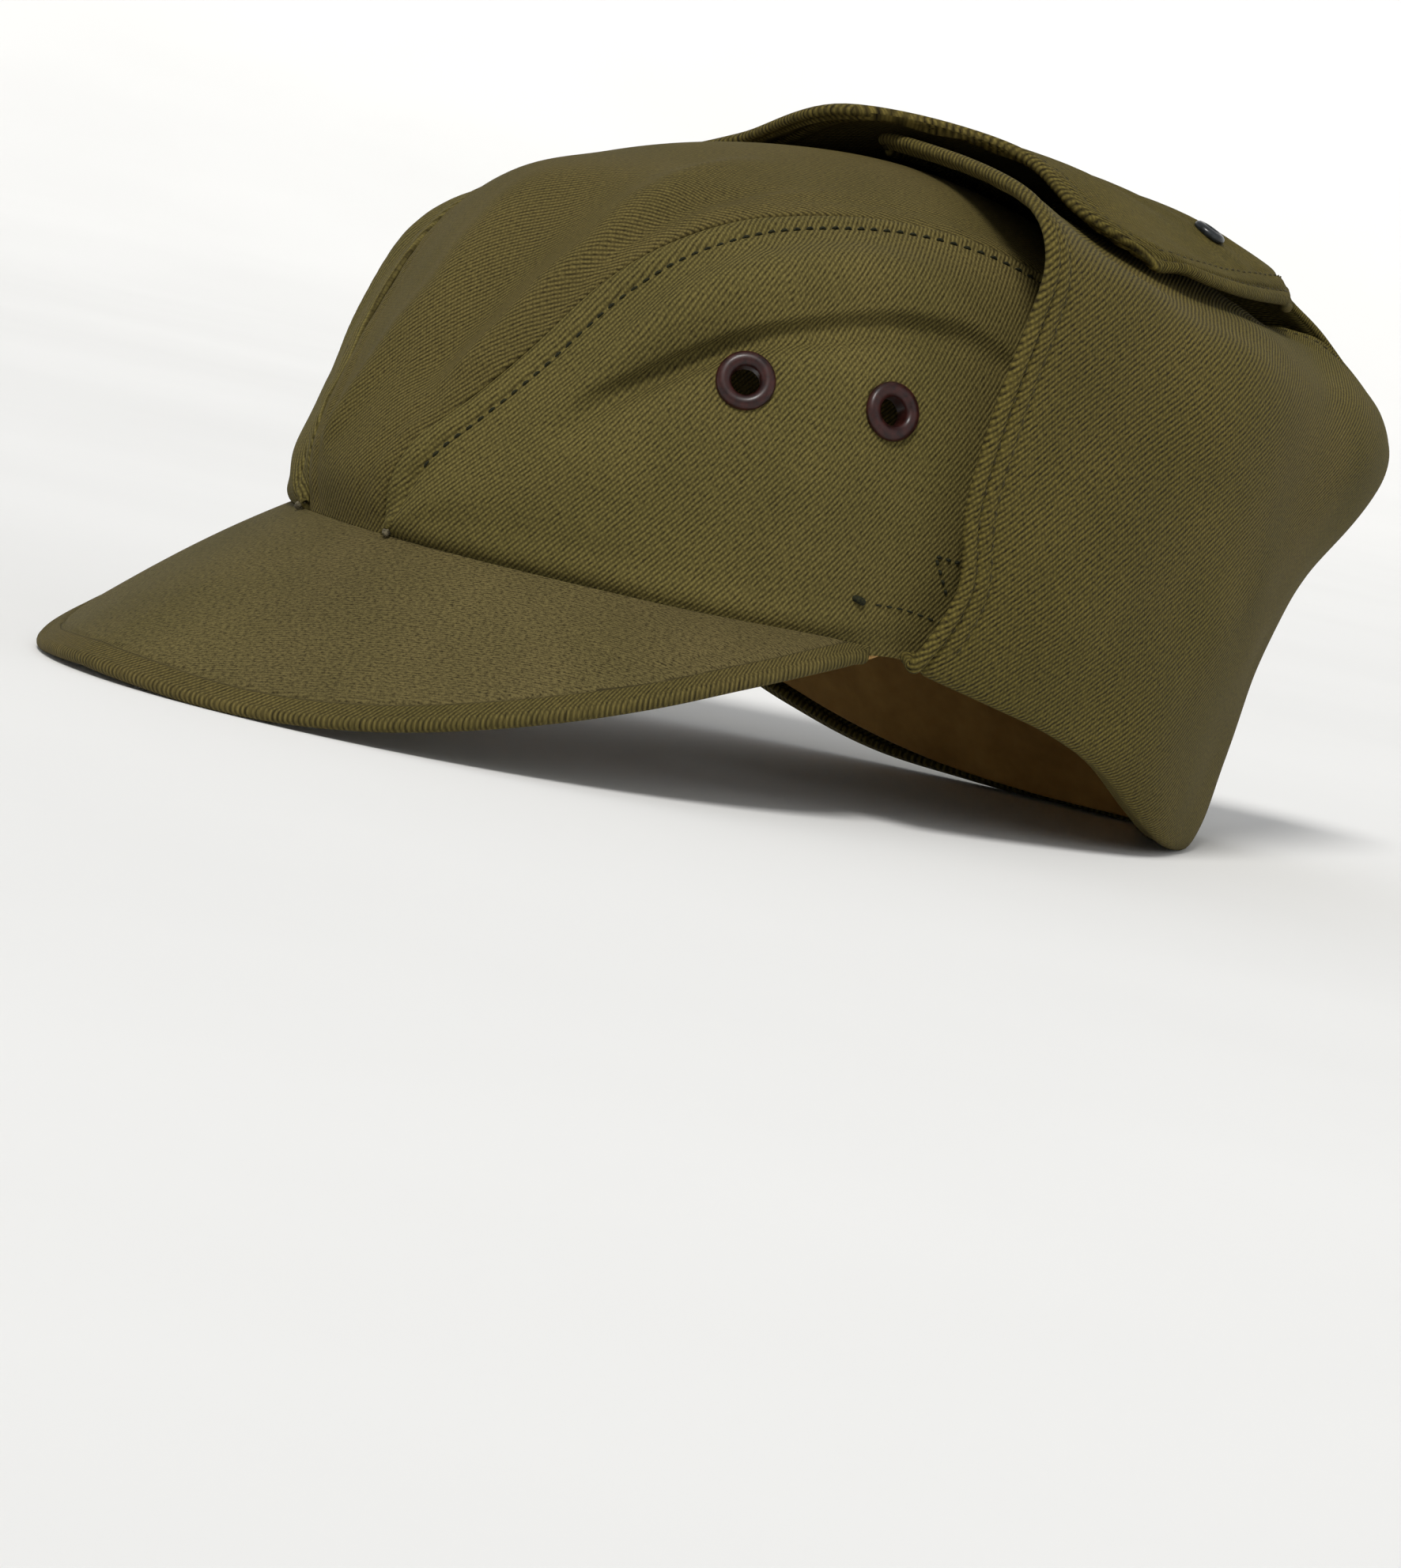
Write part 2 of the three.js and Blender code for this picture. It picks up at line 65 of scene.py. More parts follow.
# Crown sections from the forehead to the nape: middle y, z, seam x, y, z, angle of the foot
CROWN = [
    [-107.9, 3.4, 13.7, -106.3, 4.2, 10],
    [-108.0, 7.0, 14.0, -106.4, 7.9, 10.2],
    [-110.2, 17.0, 15.0, -107.4, 17.0, 16],
    [-107.0, 26.5, 17.2, -104.6, 25.5, 22],
    [-101.5, 37.5, 22.5, -98.0, 34.5, 30],
    [-94.5, 51.0, 29.0, -90.0, 46.0, 40],
    [-84.5, 66.0, 34.0, -77.0, 62.0, 51],
    [-68.0, 80.0, 38.0, -60.0, 73.8, 62],
    [-42.0, 86.0, 41.0, -39.5, 79.2, 75],
    [-14.0, 90.5, 45.5, -18.5, 80.4, 88],
    [10.0, 90.0, 55.5, -2.5, 78.4, 98],
    [34.0, 84.0, 61.0, 17.0, 70.5, 108],
    [57.0, 73.0, 58.0, 38.0, 58.0, 118],
    [77.0, 58.0, 52.0, 57.0, 44.0, 128],
    [90.0, 34.0, 44.0, 74.0, 24.0, 139],
    [99.0, 0.0, 35.0, 84.0, -8.0, 151],
    [107.8, -40.5, 27.0, 88.0, -38.2, 163],
]
ROOF_POWER = 2.2
FIRST_SIDE = 1 / 16 + 0.01
LAST_SIDE = 0.985
# Pressed-in fold of a side panel: place along the crown, place down the panel, depth, half width
FOLD = [
    [0.29, 0.46, 0.0, 0.05],
    [0.35, 0.405, 2.2, 0.05],
    [0.41, 0.37, 3.4, 0.06],
    [0.46, 0.35, 3.4, 0.07],
    [0.51, 0.35, 2.4, 0.07],
    [0.56, 0.42, 0.0, 0.07],
]
# Flap sections from the folded hem up: front edge, middle pull and centre back of each curve
HEM_TO_BACK = [
    [77.0, -24.4, -1.9, 79.0, 58.0, -32.8, 2.0, 111.5, -46.3],
    [82.2, -25.0, -2.0, 84.0, 63.0, -33.0, 1.4, 117.5, -46.5],
    [84.0, -18.0, 13.0, 87.0, 66.0, -14.0, 1.4, 121.5, -30.0],
    [84.0, -19.0, 30.0, 88.0, 72.0, 8.0, 1.4, 127.5, -10.0],
    [84.3, -16.0, 49.0, 82.0, 78.0, 29.0, 1.4, 139.2, 12.0],
    [84.7, -12.0, 65.0, 80.0, 76.0, 47.0, 1.4, 157.5, 34.0],
]
UNDER_FLAP = HEM_TO_BACK + [
    [84.0, -9.0, 77.0, 75.0, 72.0, 59.0, 1.4, 154.5, 48.0],
    [79.0, -8.0, 85.5, 68.0, 58.0, 64.5, 1.4, 137.0, 62.0],
    [63.0, -3.0, 90.5, 52.0, 54.0, 68.0, 1.4, 125.0, 65.0],
    [34.0, 4.0, 93.5, 28.0, 60.0, 78.0, 0, 119.0, 65.0],
    [0.0, 10.0, 95.0, -10.0, 66.0, 85.0, -6, 116.0, 65.0],
    [-6.0, 16.0, 93.0, -20.0, 66.0, 84.0, -10, 112.0, 65.0],
]
OVER_FLAP = HEM_TO_BACK + [
    [84.0, -9.0, 74.0, 75.0, 73.0, 60.0, 1.4, 154.5, 48.0],
    [79.0, -8.0, 78.5, 68.0, 60.0, 74.0, 1.4, 137.5, 63.5],
    [63.0, -3.0, 82.5, 52.0, 57.0, 85.0, 1.4, 126.0, 71.0],
    [34.0, -3.0, 89.5, 28.0, 60.0, 93.5, 0, 121.0, 73.5],
    [0.0, -2.0, 99.6, -10.0, 66.0, 96.0, -5, 117.5, 75.0],
    [-22.0, 25.0, 96.6, -24.0, 70.0, 90.0, -7, 116.8, 74.0],
    [-39.0, 32.5, 86.5, -35.0, 73.0, 80.5, -9, 116.0, 72.8],
    [-44.2, 50.0, 77.7, -41.5, 72.5, 71.4, -11, 115.0, 71.3],
]
# Soft folds of the strip over the crown: height, half width across, then places along and across
STRIP_FOLDS = [
    [2.0, 0.2, [0.158, 0.256, 0.329, 0.384, 0.424], [-0.56, -0.2, 0.02, 0.0, -0.02]],
    [-2.0, 0.19, [0.25, 0.319, 0.378, 0.431], [0.49, 0.48, 0.46, 0.344]],
    [2.2, 0.12, [0.264, 0.34, 0.393, 0.45, 0.514], [0.784, 0.80, 0.79, 0.66, 0.36]],
    [-1.5, 0.07, [0.33, 0.384, 0.435, 0.5], [0.97, 0.93, 0.87, 0.74]],
    [0.5, 0.05, [0.36, 0.42, 0.48, 0.53], [0.98, 0.95, 0.88, 0.8]],
]
# Line of the pressed-in fold below the seam of a side panel: places along, places down
CREASE = [
    [0.27, 0.305, 0.359, 0.389, 0.421, 0.45, 0.485, 0.517, 0.55, 0.574, 0.62],
    [0.35, 0.346, 0.36, 0.348, 0.34, 0.34, 0.338, 0.34, 0.356, 0.394, 0.45],
]
HEM_WAVE = [0.0, 1.2, 2.2, 1.2, -2.8, -5.0, -3.6, -1.2, 0.0]
HEM_WAVE_REACH = 2.2
PEAK_PLAN = [[76.0, -33.0], [104.0, -85.0], [54.0, -161.5], [0.0, -161.5]]
PEAK_HEIGHTS = [-1.0, -3.5, -7.2, -12.0, -16.6, -20.6, -23.6, -25.0, -24.9, -23.8, -23.0]
EYELETS = {"front": [0.419, 0.478], "rear": [0.495, 0.564]}
VENT_RADIUS = 3.9
STUD_PLACE = [0.848, 0.65]
SIDES = (("left", False), ("right", True))

# Rows and columns of the grids of points, and steps of their rounded edges
STRIP_ROWS, STRIP_COLUMNS = 261, 61
SIDE_ROWS, SIDE_COLUMNS, SIDE_MEASURES = 251, 97, 401
PEAK_ROWS = 201
BAND_ROWS, BAND_COLUMNS = 280, 19
TURNED_SIDES, FLOOR_SIDES = 48, 96
ROUND_STEPS, PEAK_ROUND_STEPS = 3, 4

# Seams: gap between cloths, then distances of stitches and their grooves from edges
SEAM_GAP = 0.7
SEAM_STITCH = 4.6
FLAP_STITCHES = {"near": 2.7, "far": 6.8}
BACK_STITCH = 2.3
# Width of the band along the outer edge of the peak
PEAK_BAND = 3.6
# Flat length of the sweatband for each radian of place round the base
BAND_RUN = 95

# Relief beside seams and rims: height, distance from the edge, half width
STRIP_PUCKER = 0.14, 2.4, 1.8
STRIP_RIDGE = 0.3, 2.2, 1.6
STRIP_GROOVE = -0.22, 5.0, 1.2
SIDE_RIDGE = 0.35, 2.1, 1.5
SIDE_GROOVE = -0.6, SEAM_STITCH, 0.8
SIDE_PUCKER = 0.14, 2.6, 1.8
FOOT_ROLL = 0.9, 2.6, 2.8
FOOT_EDGE = -0.4, 0.0, 0.6
FOOT_PUCKER = 0.12, 3.5, 2.5
RIM_ROLL = 0.7, 1.0, 1.2
RIM_NEAR_GROOVE = -0.7, FLAP_STITCHES["near"], 0.6
RIM_RIDGE = 0.1, 4.6, 1.0
RIM_FAR_GROOVE = -0.3, FLAP_STITCHES["far"], 0.8
RIM_PUCKER = 0.1, 4.5, 2.0
BACK_WELT = 0.4, 0.9, 0.9
BACK_GROOVE = -0.3, BACK_STITCH, 0.6
BACK_CREASE = -1.3, 4.2, 1.6

# Camera: direction from the cap, lean of the picture, distance, and shift across and up
VIEW_AZIMUTH = math.radians(54.0)
VIEW_ELEVATION = math.radians(7.6335)
VIEW_ROLL = math.radians(8.748)
VIEW_DISTANCE = 1300.0
VIEW_ACROSS = -9.432
VIEW_UP = -41.862
FOCAL_PIXELS = 7989.25
PHOTO_WIDTH = 1772
SENSOR_WIDTH = 36

MM = 0.001
IN_PLAN = np.array([1, 1, 0.0])


# Shapes

def smooth(x):
    c = np.clip(x, 0, 1)
    return c * c * (3 - 2 * c)


def through(rows, at):
    """Rows read between the rows of a table, on a smooth curve through them all."""
    rows = np.asarray(rows, float)
    last = len(rows) - 1
    place = np.clip(np.asarray(at, float), 0, 1) * last
    i = np.minimum(place.astype(int), last - 1)
    f = (place - i)[..., None]
    p1, p2 = rows[i], rows[i + 1]
    p0 = np.where((i > 0)[..., None], rows[np.maximum(i - 1, 0)], 2 * p1 - p2)
    p3 = np.where((i < last - 1)[..., None], rows[np.minimum(i + 2, last)], 2 * p2 - p1)
    slope = (p2 - p0) * f
    bend = (2 * p0 - 5 * p1 + 4 * p2 - p3) * f ** 2
    twist = (3 * p1 - p0 - 3 * p2 + p3) * f ** 3
    return 0.5 * (2 * p1 + slope + bend + twist)


def read_table(values, at):
    return through(np.array(values)[:, None], at)[..., 0]


def cubic(p0, p1, p2, p3, g):
    h = 1 - g
    return h ** 3 * p0 + 3 * h * h * g * p1 + 3 * h * g * g * p2 + g ** 3 * p3


def unit(v):
    return v / np.maximum(np.linalg.norm(v, axis=-1, keepdims=True), 1e-9)


def seam_height(t):
    k = (np.abs(t) / SEAM_REACH) ** 2
    return SEAM_MIDDLE - SEAM_FALL * k + SEAM_FLATTEN * k * k


def base_plan(t, inset):
    """Lower edge in plan: a half ellipse in front, softly pointed behind."""
    s = np.abs(t)
    side_x = HALF_WIDTH - inset
    nape = NAPE_REACH - inset
    g = np.clip((s - math.pi / 2) / (math.pi / 2), 0, 1)
    back_x = cubic(side_x, side_x, NAPE_POINT, 0.0, g)
    back_y = cubic(0.0, BACK_PULL, nape - NAPE_PULL, nape, g)
    front = s <= math.pi / 2
    x = np.where(front, side_x * np.sin(s), back_x)
    y = np.where(front, -(FRONT_REACH - inset) * np.cos(s), back_y)
    return np.sign(t) * x, y


def rim_height(t):
    s = np.abs(t)
    behind = read_table(RIM_HEIGHTS, (s - RIM_START) / (math.pi - RIM_START))
    return np.where(s < RIM_START, seam_height(t), behind)


def under_flap(t):
    """0 where the lower edge is open in front, 1 where a flap covers it."""
    return smooth((np.abs(t) - FLAP_START) / FLAP_FADE)


def strip(tau, u):
    """The strip over the crown: place from forehead to nape, -1 to 1 across."""
    row = through(CROWN, tau)
    k = np.abs(u) ** ROOF_POWER
    x = row[..., 2] * u
    y = row[..., 0] + (row[..., 3] - row[..., 0]) * k
    z = row[..., 1] + (row[..., 4] - row[..., 1]) * k
    return np.stack([x, y, z], -1)


def plain_side(tau, w):
    """A side panel before its fold is pressed in."""
    row = through(CROWN, tau)
    t = np.radians(row[..., 5])
    seam = row[..., 2:5]
    base_x, base_y = base_plan(t, FLAP_INSET * under_flap(t))
    base_z = rim_height(t) + HEM_ROOM * under_flap(t)
    base = np.stack([base_x, base_y, base_z], -1)
    rise = seam[..., 2] - base_z
    # The panel bellies out below its seam, more towards the back
    fullness = (0.52 + 0.3 * smooth((t - 0.785) / 0.436))[..., None]
    low = np.stack([base_x * 1.03, base_y * 1.03, base_z + 0.46 * rise], -1)
    high = seam + fullness * (base - seam)
    high[..., 2] = seam[..., 2] - 0.1 * rise
    return cubic(seam, high, low, base, w[..., None])


def side_normal(tau, w):
    step = 0.004
    du = plain_side(tau + step, w) - plain_side(tau - step, w)
    dv = plain_side(tau, np.minimum(w + step, 1)) - plain_side(tau, np.maximum(w - step, 0))
    return -unit(np.cross(du, dv))


def side(tau, w):
    """The left side panel: place from forehead to nape, 0 at the seam, 1 at the foot."""
    point = plain_side(tau, w)
    start, end = FOLD[0][0], FOLD[-1][0]
    inside = (tau > start) & (tau < end)
    fold = through(FOLD, (tau - start) / (end - start))
    away = (w - fold[..., 1]) / fold[..., 3]
    dent = fold[..., 2] * (np.exp(-away ** 2) - 0.6 * np.exp(-(away + 2.0) ** 2))
    dent = np.where(inside, dent, 0.0)
    return point - side_normal(tau, w) * dent[..., None]


def vent_seat(place):
    """Middle of a vent hole on the left side panel, and the way it faces."""
    tau, w = np.array(place[0]), np.array(place[1])
    return side(tau, w), side_normal(tau, w)


def flap(rows, level, s):
    """A flap: place from the folded hem to its end, 0 at the front edge, 1 at the back."""
    r = through(rows, level)
    s1 = s[..., None]
    point = (1 - s1) ** 2 * r[..., 0:3] + 2 * (1 - s1) * s1 * r[..., 3:6] + s1 ** 2 * r[..., 6:9]
    above_hem = level * (len(rows) - 1) - 1
    point[..., 2] += read_table(HEM_WAVE, s) * smooth(1 - above_hem / HEM_WAVE_REACH)
    return point


def peak(a, b):
    """The peak: -1 to 1 across, 0 at the seam, 1 at the outer edge."""
    inner_x, inner_y = base_plan(a * PEAK_END, -PEAK_GAP)
    g = 1 - np.abs(a)
    x = cubic(*[p[0] for p in PEAK_PLAN], g)
    y = cubic(*[p[1] for p in PEAK_PLAN], g)
    outer = np.stack([np.sign(a) * x, y, read_table(PEAK_HEIGHTS, g)], -1)
    inner = np.stack([inner_x, inner_y, seam_height(a * PEAK_END)], -1)
    point = inner + (outer - inner) * b[..., None]
    point[..., 2] += PEAK_SWELL * 4 * b * (1 - b) * np.minimum(1, 4 * g)
    return point


def sweatband(t, h):
    """The band: angle from the forehead, height. It sits further in and higher under the flaps."""
    covered = smooth((np.abs(t) - 1.25) / 0.14)
    lean = 0.2 + 0.2 * smooth((np.abs(t) - 1.7) / 0.7)
    inset = FLAP_INSET * under_flap(t) + CLOTH + 0.45 + 0.4 * covered + lean * h
    x, y = base_plan(t, inset)
    return np.stack([x, y, rim_height(t) - 3.4 + 6.8 * covered + h], -1)


def turned(way):
    """A direction of the cap's own frame in the frame it rests in."""
    x, y, z = way[..., 0], way[..., 1], way[..., 2]
    cos, sin = math.cos(REST_PITCH), math.sin(REST_PITCH)
    return np.stack([x, y * cos - z * sin, y * sin + z * cos], -1)


def rest(points):
    """From the cap's own frame to the frame it rests in; what reaches lower lies flat."""
    placed = turned(points) + REST_MOVE
    placed[..., 2] = np.maximum(placed[..., 2], 0)
    return placed


def flipped(points, mirror):
    return points * np.array([-1.0, 1.0, 1.0]) if mirror else points


# Grids of points

def grid_normals(points):
    return -unit(np.cross(np.gradient(points, axis=0), np.gradient(points, axis=1)))


def lengths(points, axis):
    """Distance run along one axis of a grid, from 0 at its start."""
    run = np.linalg.norm(np.diff(points, axis=axis), axis=-1)
    start = np.zeros_like(np.take(run, [0], axis=axis))
    return np.cumsum(np.concatenate([start, run], axis=axis), axis=axis)


def bump(x, middle, half_width):
    return np.exp(-((x - middle) / half_width) ** 2)


def relief(away, height, middle, half_width):
    return height * bump(away, middle, half_width)


def pucker(run, pitch, sway, sway_pitch):
    """Ripple of a gathered seam, its pitch drifting as it runs."""
    return np.sin(run / pitch + sway * np.sin(run / sway_pitch))


def undulate(u, v, seed, wavelength, strength):
    """Soft irregular swell of a cloth, from a few crossing waves."""
    pick = np.random.default_rng(seed)
    total = np.zeros_like(u)
    for k in range(7):
        angle = pick.uniform(0, math.pi)
        size = wavelength * pick.uniform(0.6, 1.6)
        phase = pick.uniform(0, 2 * math.pi)
        along = u * math.cos(angle) + v * math.sin(angle)
        total += np.sin(2 * math.pi * along / size + phase)
    return total * strength / 2.6


def rounded(grids, which, steps=ROUND_STEPS):
    """Adds a rounded edge of half the cloth's thickness to one side of a sheet's grids."""
    outer, inner, flat = grids
    if which in ("first_column", "last_column"):
        swapped = [np.swapaxes(g, 0, 1) for g in grids]
        row = which.replace("column", "row")
        return [np.swapaxes(g, 0, 1) for g in rounded(swapped, row, steps)]
    if which == "last_row":
        turned_round = rounded([g[::-1] for g in grids], "first_row", steps)
        return [g[::-1] for g in turned_round]
    middle = (outer[0] + inner[0]) / 2
    half = (outer[0] - inner[0]) / 2
    radius = np.linalg.norm(half, axis=-1, keepdims=True)
    across = unit(half)
    out = unit(np.cross(np.gradient(middle, axis=0), across))
    out = out * np.sign(np.sum(out * (outer[0] - outer[1]), -1, keepdims=True))
    flat_out = unit(flat[0] - flat[1])
    rims = [[], [], []]
    for k in range(steps, 0, -1):
        angle = k / steps * math.pi / 2
        rims[0].append(middle + half * math.cos(angle) + out * radius * math.sin(angle))
        rims[1].append(middle - half * math.cos(angle) + out * radius * math.sin(angle))
        rims[2].append(flat[0] + flat_out * radius * math.sin(angle))
    return [np.concatenate([np.array(rim), grid]) for rim, grid in zip(rims, grids)]


def new_object(name, data):
    obj = bpy.data.objects.new(name, data)
    bpy.context.scene.collection.objects.link(obj)
    return obj


def add_mesh(name, points, faces, materials, face_material=None, uv=None, sharp=50):
    mesh = bpy.data.meshes.new(name)
    mesh.from_pydata([tuple(p) for p in points], [], faces)
    for material in materials:
        mesh.materials.append(material)
    if face_material is not None:
        mesh.polygons.foreach_set("material_index", np.asarray(face_material, dtype=np.int32))
    if uv is not None:
        layer = mesh.uv_layers.new(name="flat")
        corners = np.zeros(len(mesh.loops), dtype=np.int32)
        mesh.loops.foreach_get("vertex_index", corners)
        layer.data.foreach_set("uv", np.asarray(uv)[corners].astype(np.float32).ravel())
    work = bmesh.new()
    work.from_mesh(mesh)
    bmesh.ops.remove_doubles(work, verts=work.verts, dist=1e-6)
    bmesh.ops.dissolve_degenerate(work, edges=work.edges, dist=1e-7)
    bmesh.ops.recalc_face_normals(work, faces=work.faces)
    work.to_mesh(mesh)
    work.free()
    mesh.polygons.foreach_set("use_smooth", [True] * len(mesh.polygons))
    mesh.set_sharp_from_angle(angle=math.radians(sharp))
    return new_object(name, mesh)


def ring_faces(rings, sides, start=0, closed=False):
    """Faces between rings of points in a row, and from the last to the first if closed."""
    faces = []
    for r in range(rings if closed else rings - 1):
        a, b = start + r * sides, start + (r + 1) % rings * sides
        for k in range(sides):
            n = (k + 1) % sides
            faces.append((a + k, a + n, b + n, b + k))
    return faces


def add_sheet(name, grids, materials, keep=None, ring=False, mirror=False, second=None):
    """A closed sheet of cloth between an outer and an inner grid of points."""
    outer, inner, flat = grids
    rows, columns = outer.shape[:2]
    skins = [rest(flipped(grid, mirror)).reshape(-1, 3) for grid in (outer, inner)]
    uv = np.concatenate([flat.reshape(-1, 2)] * 2) * MM
    behind = rows * columns
    quads, marks, uses = [], [], Counter()
    for i in range(rows if ring else rows - 1):
        n = (i + 1) % rows
        for j in range(columns - 1):
            if keep is not None and not keep[i, j]:
                continue
            quad = (i * columns + j, n * columns + j, n * columns + j + 1, i * columns + j + 1)
            quads.append(quad)
            marks.append(0 if second is None else int(second[i, j]))
            uses.update(tuple(sorted(edge)) for edge in zip(quad, quad[1:] + quad[:1]))
    rims = [edge for edge, count in uses.items() if count == 1]
    faces = quads + [tuple(v + behind for v in reversed(quad)) for quad in quads]
    faces += [(a, b, b + behind, a + behind) for a, b in rims]
    marks = marks * 2 + [0 if second is None else 1] * len(rims)
    return add_mesh(name, np.concatenate(skins) * MM, faces, materials, marks, uv)


def sample(points, rows, columns):
    """Points of a grid read at fractional row and column places."""
    r = np.clip(np.asarray(rows, float), 0, points.shape[0] - 1.001)
    c = np.clip(np.asarray(columns, float), 0, points.shape[1] - 1.001)
    i, j = r.astype(int), c.astype(int)
    f, g = (r - i)[..., None], (c - j)[..., None]
    top = points[i, j] * (1 - g) + points[i, j + 1] * g
    low = points[i + 1, j] * (1 - g) + points[i + 1, j + 1] * g
    return top * (1 - f) + low * f


def read_at(points, normals, rows, columns):
    """Points and their normals at fractional row and column places."""
    return sample(points, rows, columns), unit(sample(normals, rows, columns))


def laid_flat(points, flat, every=4, rounds=500):
    """Evens out flat places, so that distances on the flat cloth are those on the shape."""
    count, width = points.shape[:2]
    rows = np.unique(np.append(np.arange(0, count, every), count - 1))
    columns = np.unique(np.append(np.arange(0, width, every), width - 1))
    shape = points[np.ix_(rows, columns)]
    start = flat[np.ix_(rows, columns)]
    place = start.copy()
    threads = []
    for first, second in (
        (np.s_[:-1, :], np.s_[1:, :]),
        (np.s_[:, :-1], np.s_[:, 1:]),
        (np.s_[:-1, :-1], np.s_[1:, 1:]),
        (np.s_[:-1, 1:], np.s_[1:, :-1]),
    ):
        length = np.linalg.norm(shape[second] - shape[first], axis=-1, keepdims=True)
        threads.append((first, second, length))
    for _ in range(rounds):
        moved = np.zeros_like(place)
        uses = np.zeros(place.shape[:2] + (1,))
        for first, second, length in threads:
            gap = place[second] - place[first]
            now = np.maximum(np.linalg.norm(gap, axis=-1, keepdims=True), 1e-6)
            push = gap * (now - length) / now / 2
            moved[first] += push
            moved[second] -= push
            uses[first] += 1
            uses[second] += 1
        place += moved / uses
    r = np.interp(np.arange(count), rows, np.arange(len(rows)))
    c = np.interp(np.arange(width), columns, np.arange(len(columns)))
    r, c = np.meshgrid(r, c, indexing="ij")
    return flat + sample(place - start, r, c)


def stitch_row(name, path, normals, material, length, gap, radius, mirror):
    """Thread lying on cloth along a path, as one mesh of short raised stitches."""
    steps = np.linalg.norm(np.diff(path, axis=0), axis=1)
    run = np.concatenate([[0], np.cumsum(steps)])
    count = max(int((run[-1] - length) / (length + gap)), 1)
    sides, rings = 6, 5
    angles = 2 * math.pi * np.arange(sides)[:, None] / sides
    lift = np.array([-0.22, 0.1, 0.2, 0.1, -0.22])[:, None] * (radius / 0.22)
    thick = np.array([0.35, 0.9, 1.0, 0.9, 0.35])[:, None, None] * radius
    points, faces = [], []
    for k in range(count):
        start = k * (length + gap) + gap / 2
        at = np.linspace(start, start + length, rings)
        spine = np.stack([np.interp(at, run, path[:, a]) for a in range(3)], -1)
        up = unit(np.stack([np.interp(at, run, normals[:, a]) for a in range(3)], -1))
        across = unit(np.cross(unit(np.gradient(spine, axis=0)), up))
        ways = across[:, None] * np.cos(angles) + up[:, None] * np.sin(angles)
        points.append((spine + up * lift)[:, None] + ways * thick)
        first, last = k * rings * sides, (k + 1) * rings * sides
        faces += ring_faces(rings, sides, first)
        faces.append(tuple(range(first, first + sides)))
        faces.append(tuple(reversed(range(last - sides, last))))
    points = rest(flipped(np.reshape(points, (-1, 3)), mirror)) * MM
    return add_mesh(name, points, faces, [material], sharp=80)


# Materials

def new_material(name):
    material = bpy.data.materials.new(name)
    material.use_nodes = True
    tree = material.node_tree
    shader = tree.nodes["Principled BSDF"]
    return material, tree, shader


def maths(tree, operation, *sources):
    """A calculation in a material, fed with plain numbers and outputs of other nodes."""
    node = tree.nodes.new("ShaderNodeMath")
    node.operation = operation
    for socket, source in zip(node.inputs, sources):
        if isinstance(source, (int, float)):
            socket.default_value = source
        else:
            tree.links.new(source, socket)
    return node.outputs[0]


def times(tree, a, b):
    return maths(tree, "MULTIPLY", a, b)


def plus(tree, a, b):
    return maths(tree, "ADD", a, b)


def flat_place(tree):
    """Place on the flat cloth in metres, as a vector and as its two numbers."""
    place = tree.nodes.new("ShaderNodeUVMap")
    place.uv_map = "flat"
    parts = tree.nodes.new("ShaderNodeSeparateXYZ")
    tree.links.new(place.outputs[0], parts.inputs[0])
    return place.outputs[0], parts.outputs[0], parts.outputs[1]


def noise(tree, place, scale, detail=2.0, roughness=0.5):
    node = tree.nodes.new("ShaderNodeTexNoise")
    tree.links.new(place, node.inputs["Vector"])
    node.inputs["Scale"].default_value = scale
    node.inputs["Detail"].default_value = detail
    node.inputs["Roughness"].default_value = roughness
    return node.outputs[0]


def ramp(tree, source, stops):
    node = tree.nodes.new("ShaderNodeValToRGB")
    elements = node.color_ramp.elements
    while len(elements) < len(stops):
        elements.new(0.5)
    for element, (place, colour) in zip(elements, stops):
        element.position = place
        element.color = (*colour, 1)
    tree.links.new(source, node.inputs[0])
    return node.outputs[0]


def multiplied(tree, a, b):
    """One colour times another."""
    node = tree.nodes.new("ShaderNodeMix")
    node.data_type = "RGBA"
    node.blend_type = "MULTIPLY"
    node.inputs[0].default_value = 1.0
    tree.links.new(a, node.inputs[6])
    tree.links.new(b, node.inputs[7])
    return node.outputs[2]


def across_lines(tree, u, v, angle):
    """Distance on the flat cloth across lines that rise at an angle."""
    cos, sin = math.cos(math.radians(angle)), math.sin(math.radians(angle))
    return maths(tree, "SUBTRACT", times(tree, v, cos), times(tree, u, sin))


def bands(tree, u, v, angle, pitch, wobble):
    """Soft stripes 0 to 1 across the flat cloth, rising at an angle."""
    phase = times(tree, across_lines(tree, u, v, angle), 2 * math.pi / (pitch * MM))
    wave = maths(tree, "SINE", plus(tree, phase, wobble))
    return maths(tree, "MULTIPLY_ADD", wave, 0.5, 0.5)


def dress(tree, shader, tone, rough, settings):
    """Gives a shader its colour, its roughness and its plain settings."""
    tree.links.new(tone, shader.inputs["Base Color"])
    tree.links.new(rough, shader.inputs["Roughness"])
    for name, value in settings.items():
        shader.inputs[name].default_value = value


def emboss(tree, shader, height, strength, depth):
    """Small relief of a surface from a height, with its depth in millimetres."""
    node = tree.nodes.new("ShaderNodeBump")
    node.inputs["Strength"].default_value = strength
    node.inputs["Distance"].default_value = depth * MM
    tree.links.new(height, node.inputs["Height"])
    tree.links.new(node.outputs[0], shader.inputs["Normal"])


def colour(red, green, blue):
    """Linear colour from a colour as seen on a screen, 0 to 255."""
    def linear(value):
        c = value / 255
        return c / 12.92 if c <= 0.04045 else ((c + 0.055) / 1.055) ** 2.4
    return (linear(red), linear(green), linear(blue))


